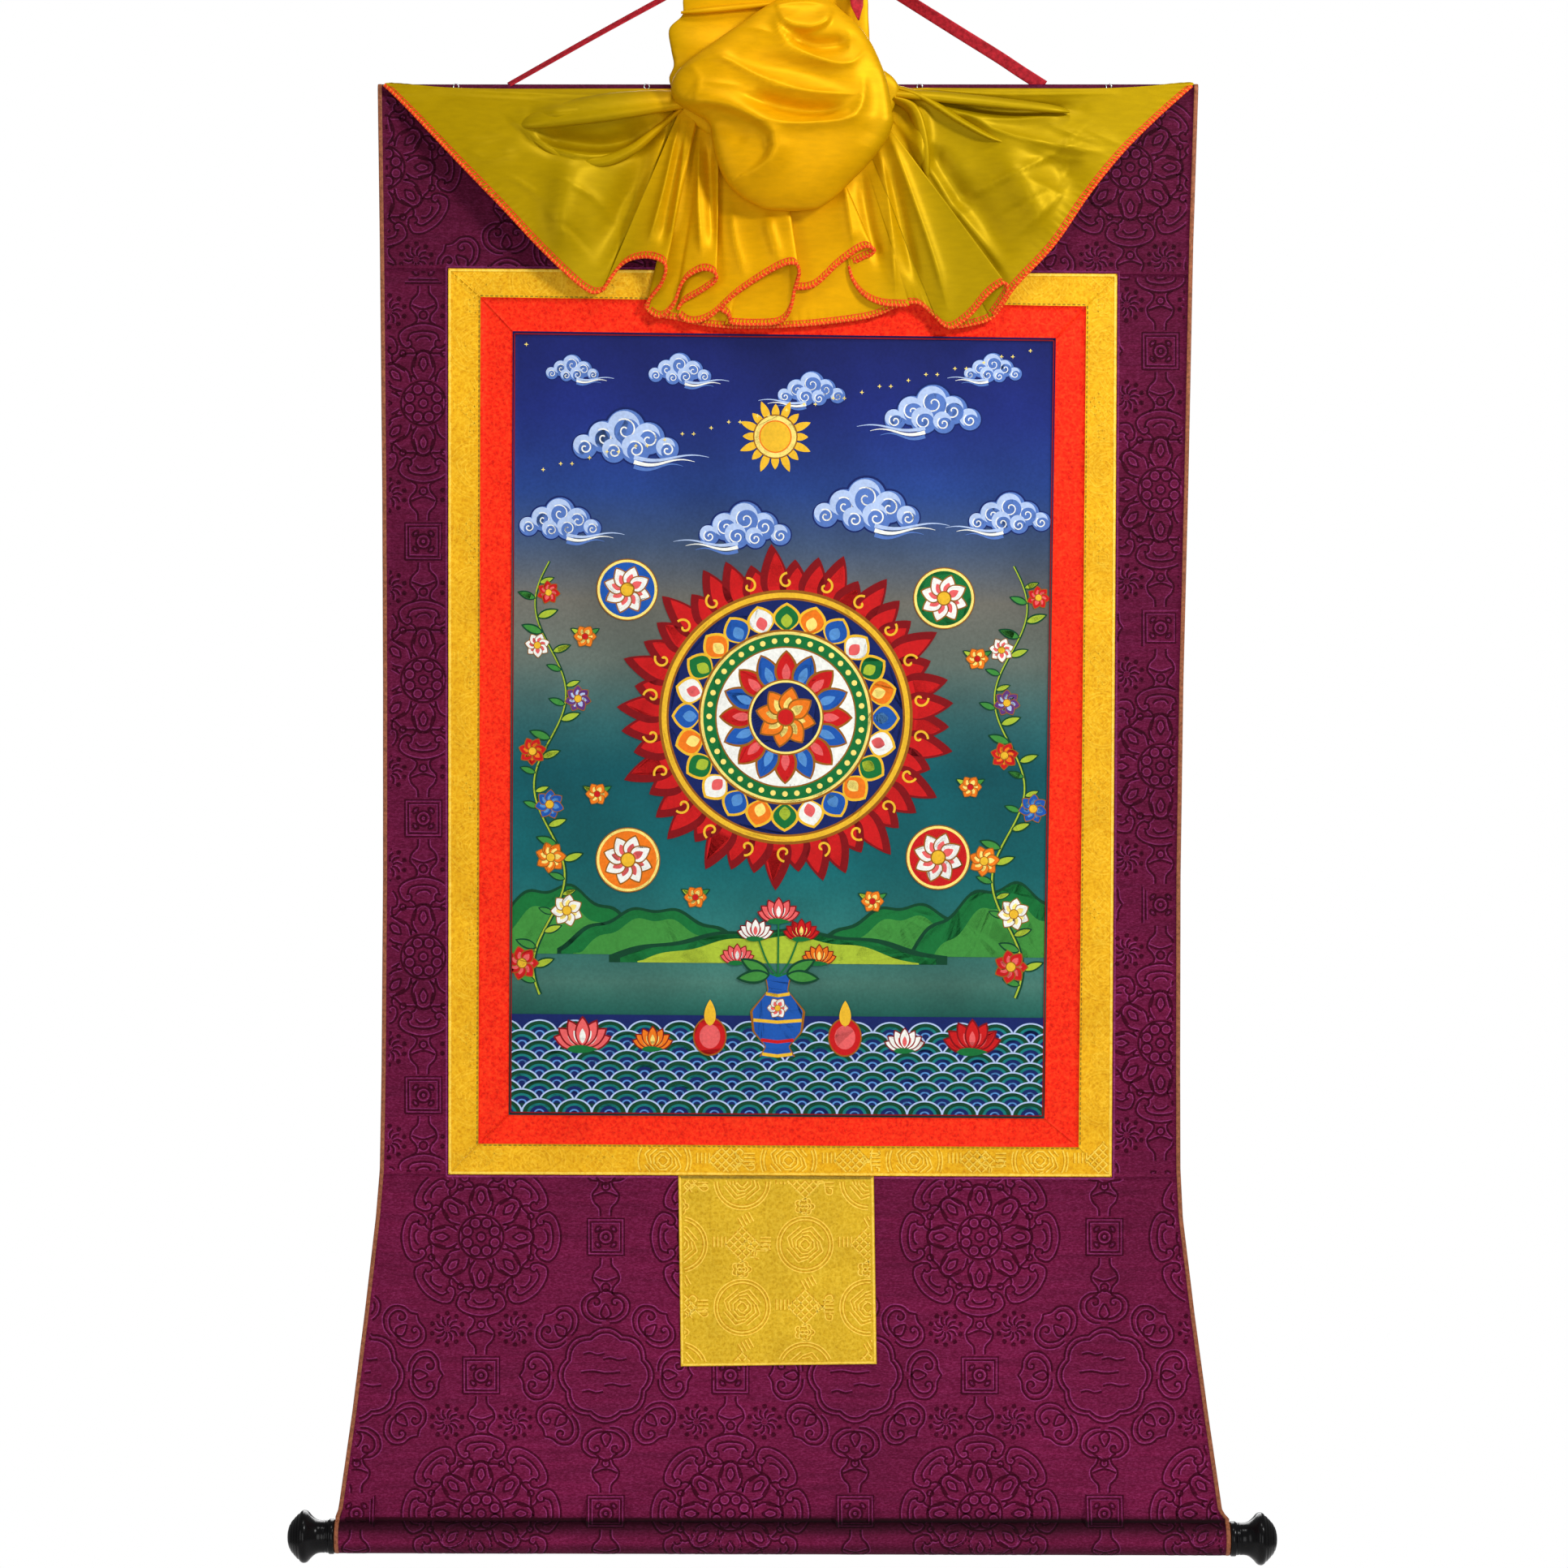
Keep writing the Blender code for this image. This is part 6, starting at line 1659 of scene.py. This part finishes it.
def loftRings(table, folds, size):
    rows, sides = size
    squareness = veilPlan["squareness"]
    table = softLine(table, rows, 1)
    z, left, right, front, back = (table[:, k:k + 1] for k in range(5))
    turn = np.linspace(0, 2 * np.pi, sides, endpoint=False)[None]
    cos, sin = np.cos(turn), np.sin(turn)
    x = (left + right) / 2 + (right - left) / 2 * np.sign(cos) * np.abs(cos) ** squareness
    y = (front + back) / 2 + (back - front) / 2 * np.sign(sin) * np.abs(sin) ** squareness
    z = z + 0 * x  # one height to a ring
    y = y + np.where(sin < 0, foldDepth(x, z, folds) * np.abs(sin), 0)
    return np.stack([x, y, z], -1)


def foldRoll(route, lean):  # cloth folded over itself, its lower edge leaning out; x, z, y, half height, half depth
    rows, sides = veilPlan["rollSize"]
    line = softLine(route, rows, 2)
    along = unit(np.gradient(line[:, :2], axis=0))
    turn = np.linspace(0, 2 * np.pi, sides, endpoint=False)[None]
    across = line[:, 3:4] * np.cos(turn)
    x = line[:, 0:1] - along[:, 1:2] * across
    z = line[:, 1:2] + along[:, 0:1] * across
    y = line[:, 2:3] + line[:, 4:5] * (np.sin(turn) - lean * np.cos(turn))
    return np.stack([x, np.minimum(y, -3.0), z], -1)


def veil():
    skirt = fanGrid(veilPlan["hem"], veilPlan["neck"], *veilPlan["skirtSize"], veilPlan["folds"], veilPlan["billow"])
    sewn = slice(skirt[-1][:, 0].argmin(), skirt[-1][:, 0].argmax() + 1)
    parts, hems = [(skirt, False)], [(skirt[-1][sewn], skirt[-3][sewn])]
    for hem, neck in veilPlan["pleats"].values():
        pleat = fanGrid(hem, neck, *veilPlan["pleatSize"], veilPlan["folds"][veilPlan["pleatFolds"]])
        parts.append((pleat, False))
        hems.append((pleat[-1], pleat[-3]))
    parts.append((loftRings(veilPlan["neckLoft"], [], veilPlan["loftSize"]), True))
    parts.append((loftRings(veilPlan["pouchLoft"], veilPlan["pouchFolds"], veilPlan["pouchSize"]), True))
    parts += [(foldRoll(route, lean), True) for route, lean in veilPlan["rolls"]]
    points, faces, warm, start, area = [], [], [], 0, 0.0
    for grid, closed in parts:
        flatPoints = grid.reshape(-1, 3)
        points.append(flatPoints)
        faces.append(gridQuads(*grid.shape[:2], start, True, closed))
        warm.append(np.exp(-((flatPoints[:, 0] + 12) / 95.0) ** 4))
        start += len(flatPoints)
        area += gridArea(grid)
    item = addPiece("silkVeil", np.vstack(points), np.vstack(faces), [finishes["silk"]], "veil_satin", ["veil"],
                    inks={"warm": np.concatenate(warm)})
    return item, hems, area


hemPlan = {"radius": 1.3, "flat": 0.6, "sides": 10, "step": 0.55, "stitch": 6,
           "deep": 4.4, "rung": 2.7, "thread": 1.0, "chain": 0.86, "proud": 0.4}


def alongLine(line, run, where):
    return np.column_stack([np.interp(where, run, line[:, k]) for k in range(3)])


def hemPieces(hems):  # a rolled orange hem with paler thread in it, and a ladder of orange stitches behind it
    points, faces, finish, start, sides = [], [], [], 0, hemPlan["sides"]
    for line, inner in hems:
        run = runAlong(line)
        deep = np.linalg.norm(inner - line, axis=1, keepdims=True)
        inner = line + (inner - line) / np.maximum(deep, 1e-6) * np.minimum(deep, hemPlan["deep"])
        at = np.arange(2.0, run[-1] - 2.0, hemPlan["rung"])
        for first, last, wide in ((0.0, 1.0, hemPlan["thread"]), (hemPlan["chain"], 1.0, hemPlan["rung"])):
            corners = []
            for shift, share in ((0.0, first), (wide, first), (wide, last), (0.0, last)):
                lower, upper = alongLine(line, run, at + shift), alongLine(inner, run, at + shift)
                corners.append(lower + (upper - lower) * share - [0.0, hemPlan["proud"], 0.0])
            points.append(np.stack(corners, 1).reshape(-1, 3))
            faces += [tuple(range(start + 4 * k, start + 4 * k + 4)) for k in range(len(at))]
            finish += [0] * len(at)
            start += 4 * len(at)
        line = softLine(line[::3], max(30, int(run[-1] / hemPlan["step"])))
        radius = hemPlan["radius"] * (1 + 0.06 * np.cos(np.arange(len(line)) / hemPlan["stitch"] * 2 * np.pi))
        ringPoints, ringFaces = ringsOf(tubeAlong(line, radius, sides, hemPlan["flat"]))
        points.append(ringPoints)
        faces += [tuple(int(v) + start for v in face) for face in ringFaces]
        rows = np.arange(len(line) - 1)[:, None]
        pale = ((rows + np.arange(sides) // 3) % hemPlan["stitch"] == 0).astype(int).ravel()
        finish += list(pale) + [0] * (len(ringFaces) - len(pale))
        start += len(ringPoints)
    return addPiece("veilHem", np.vstack(points), faces, [finishes["hem"], finishes["hemStitch"]], "veil_satin",
                    faceFinish=finish)


veilItem, hemLines, veilArea = veil()
hemItem = hemPieces(hemLines)
print("veil made", round(veilArea, 4))
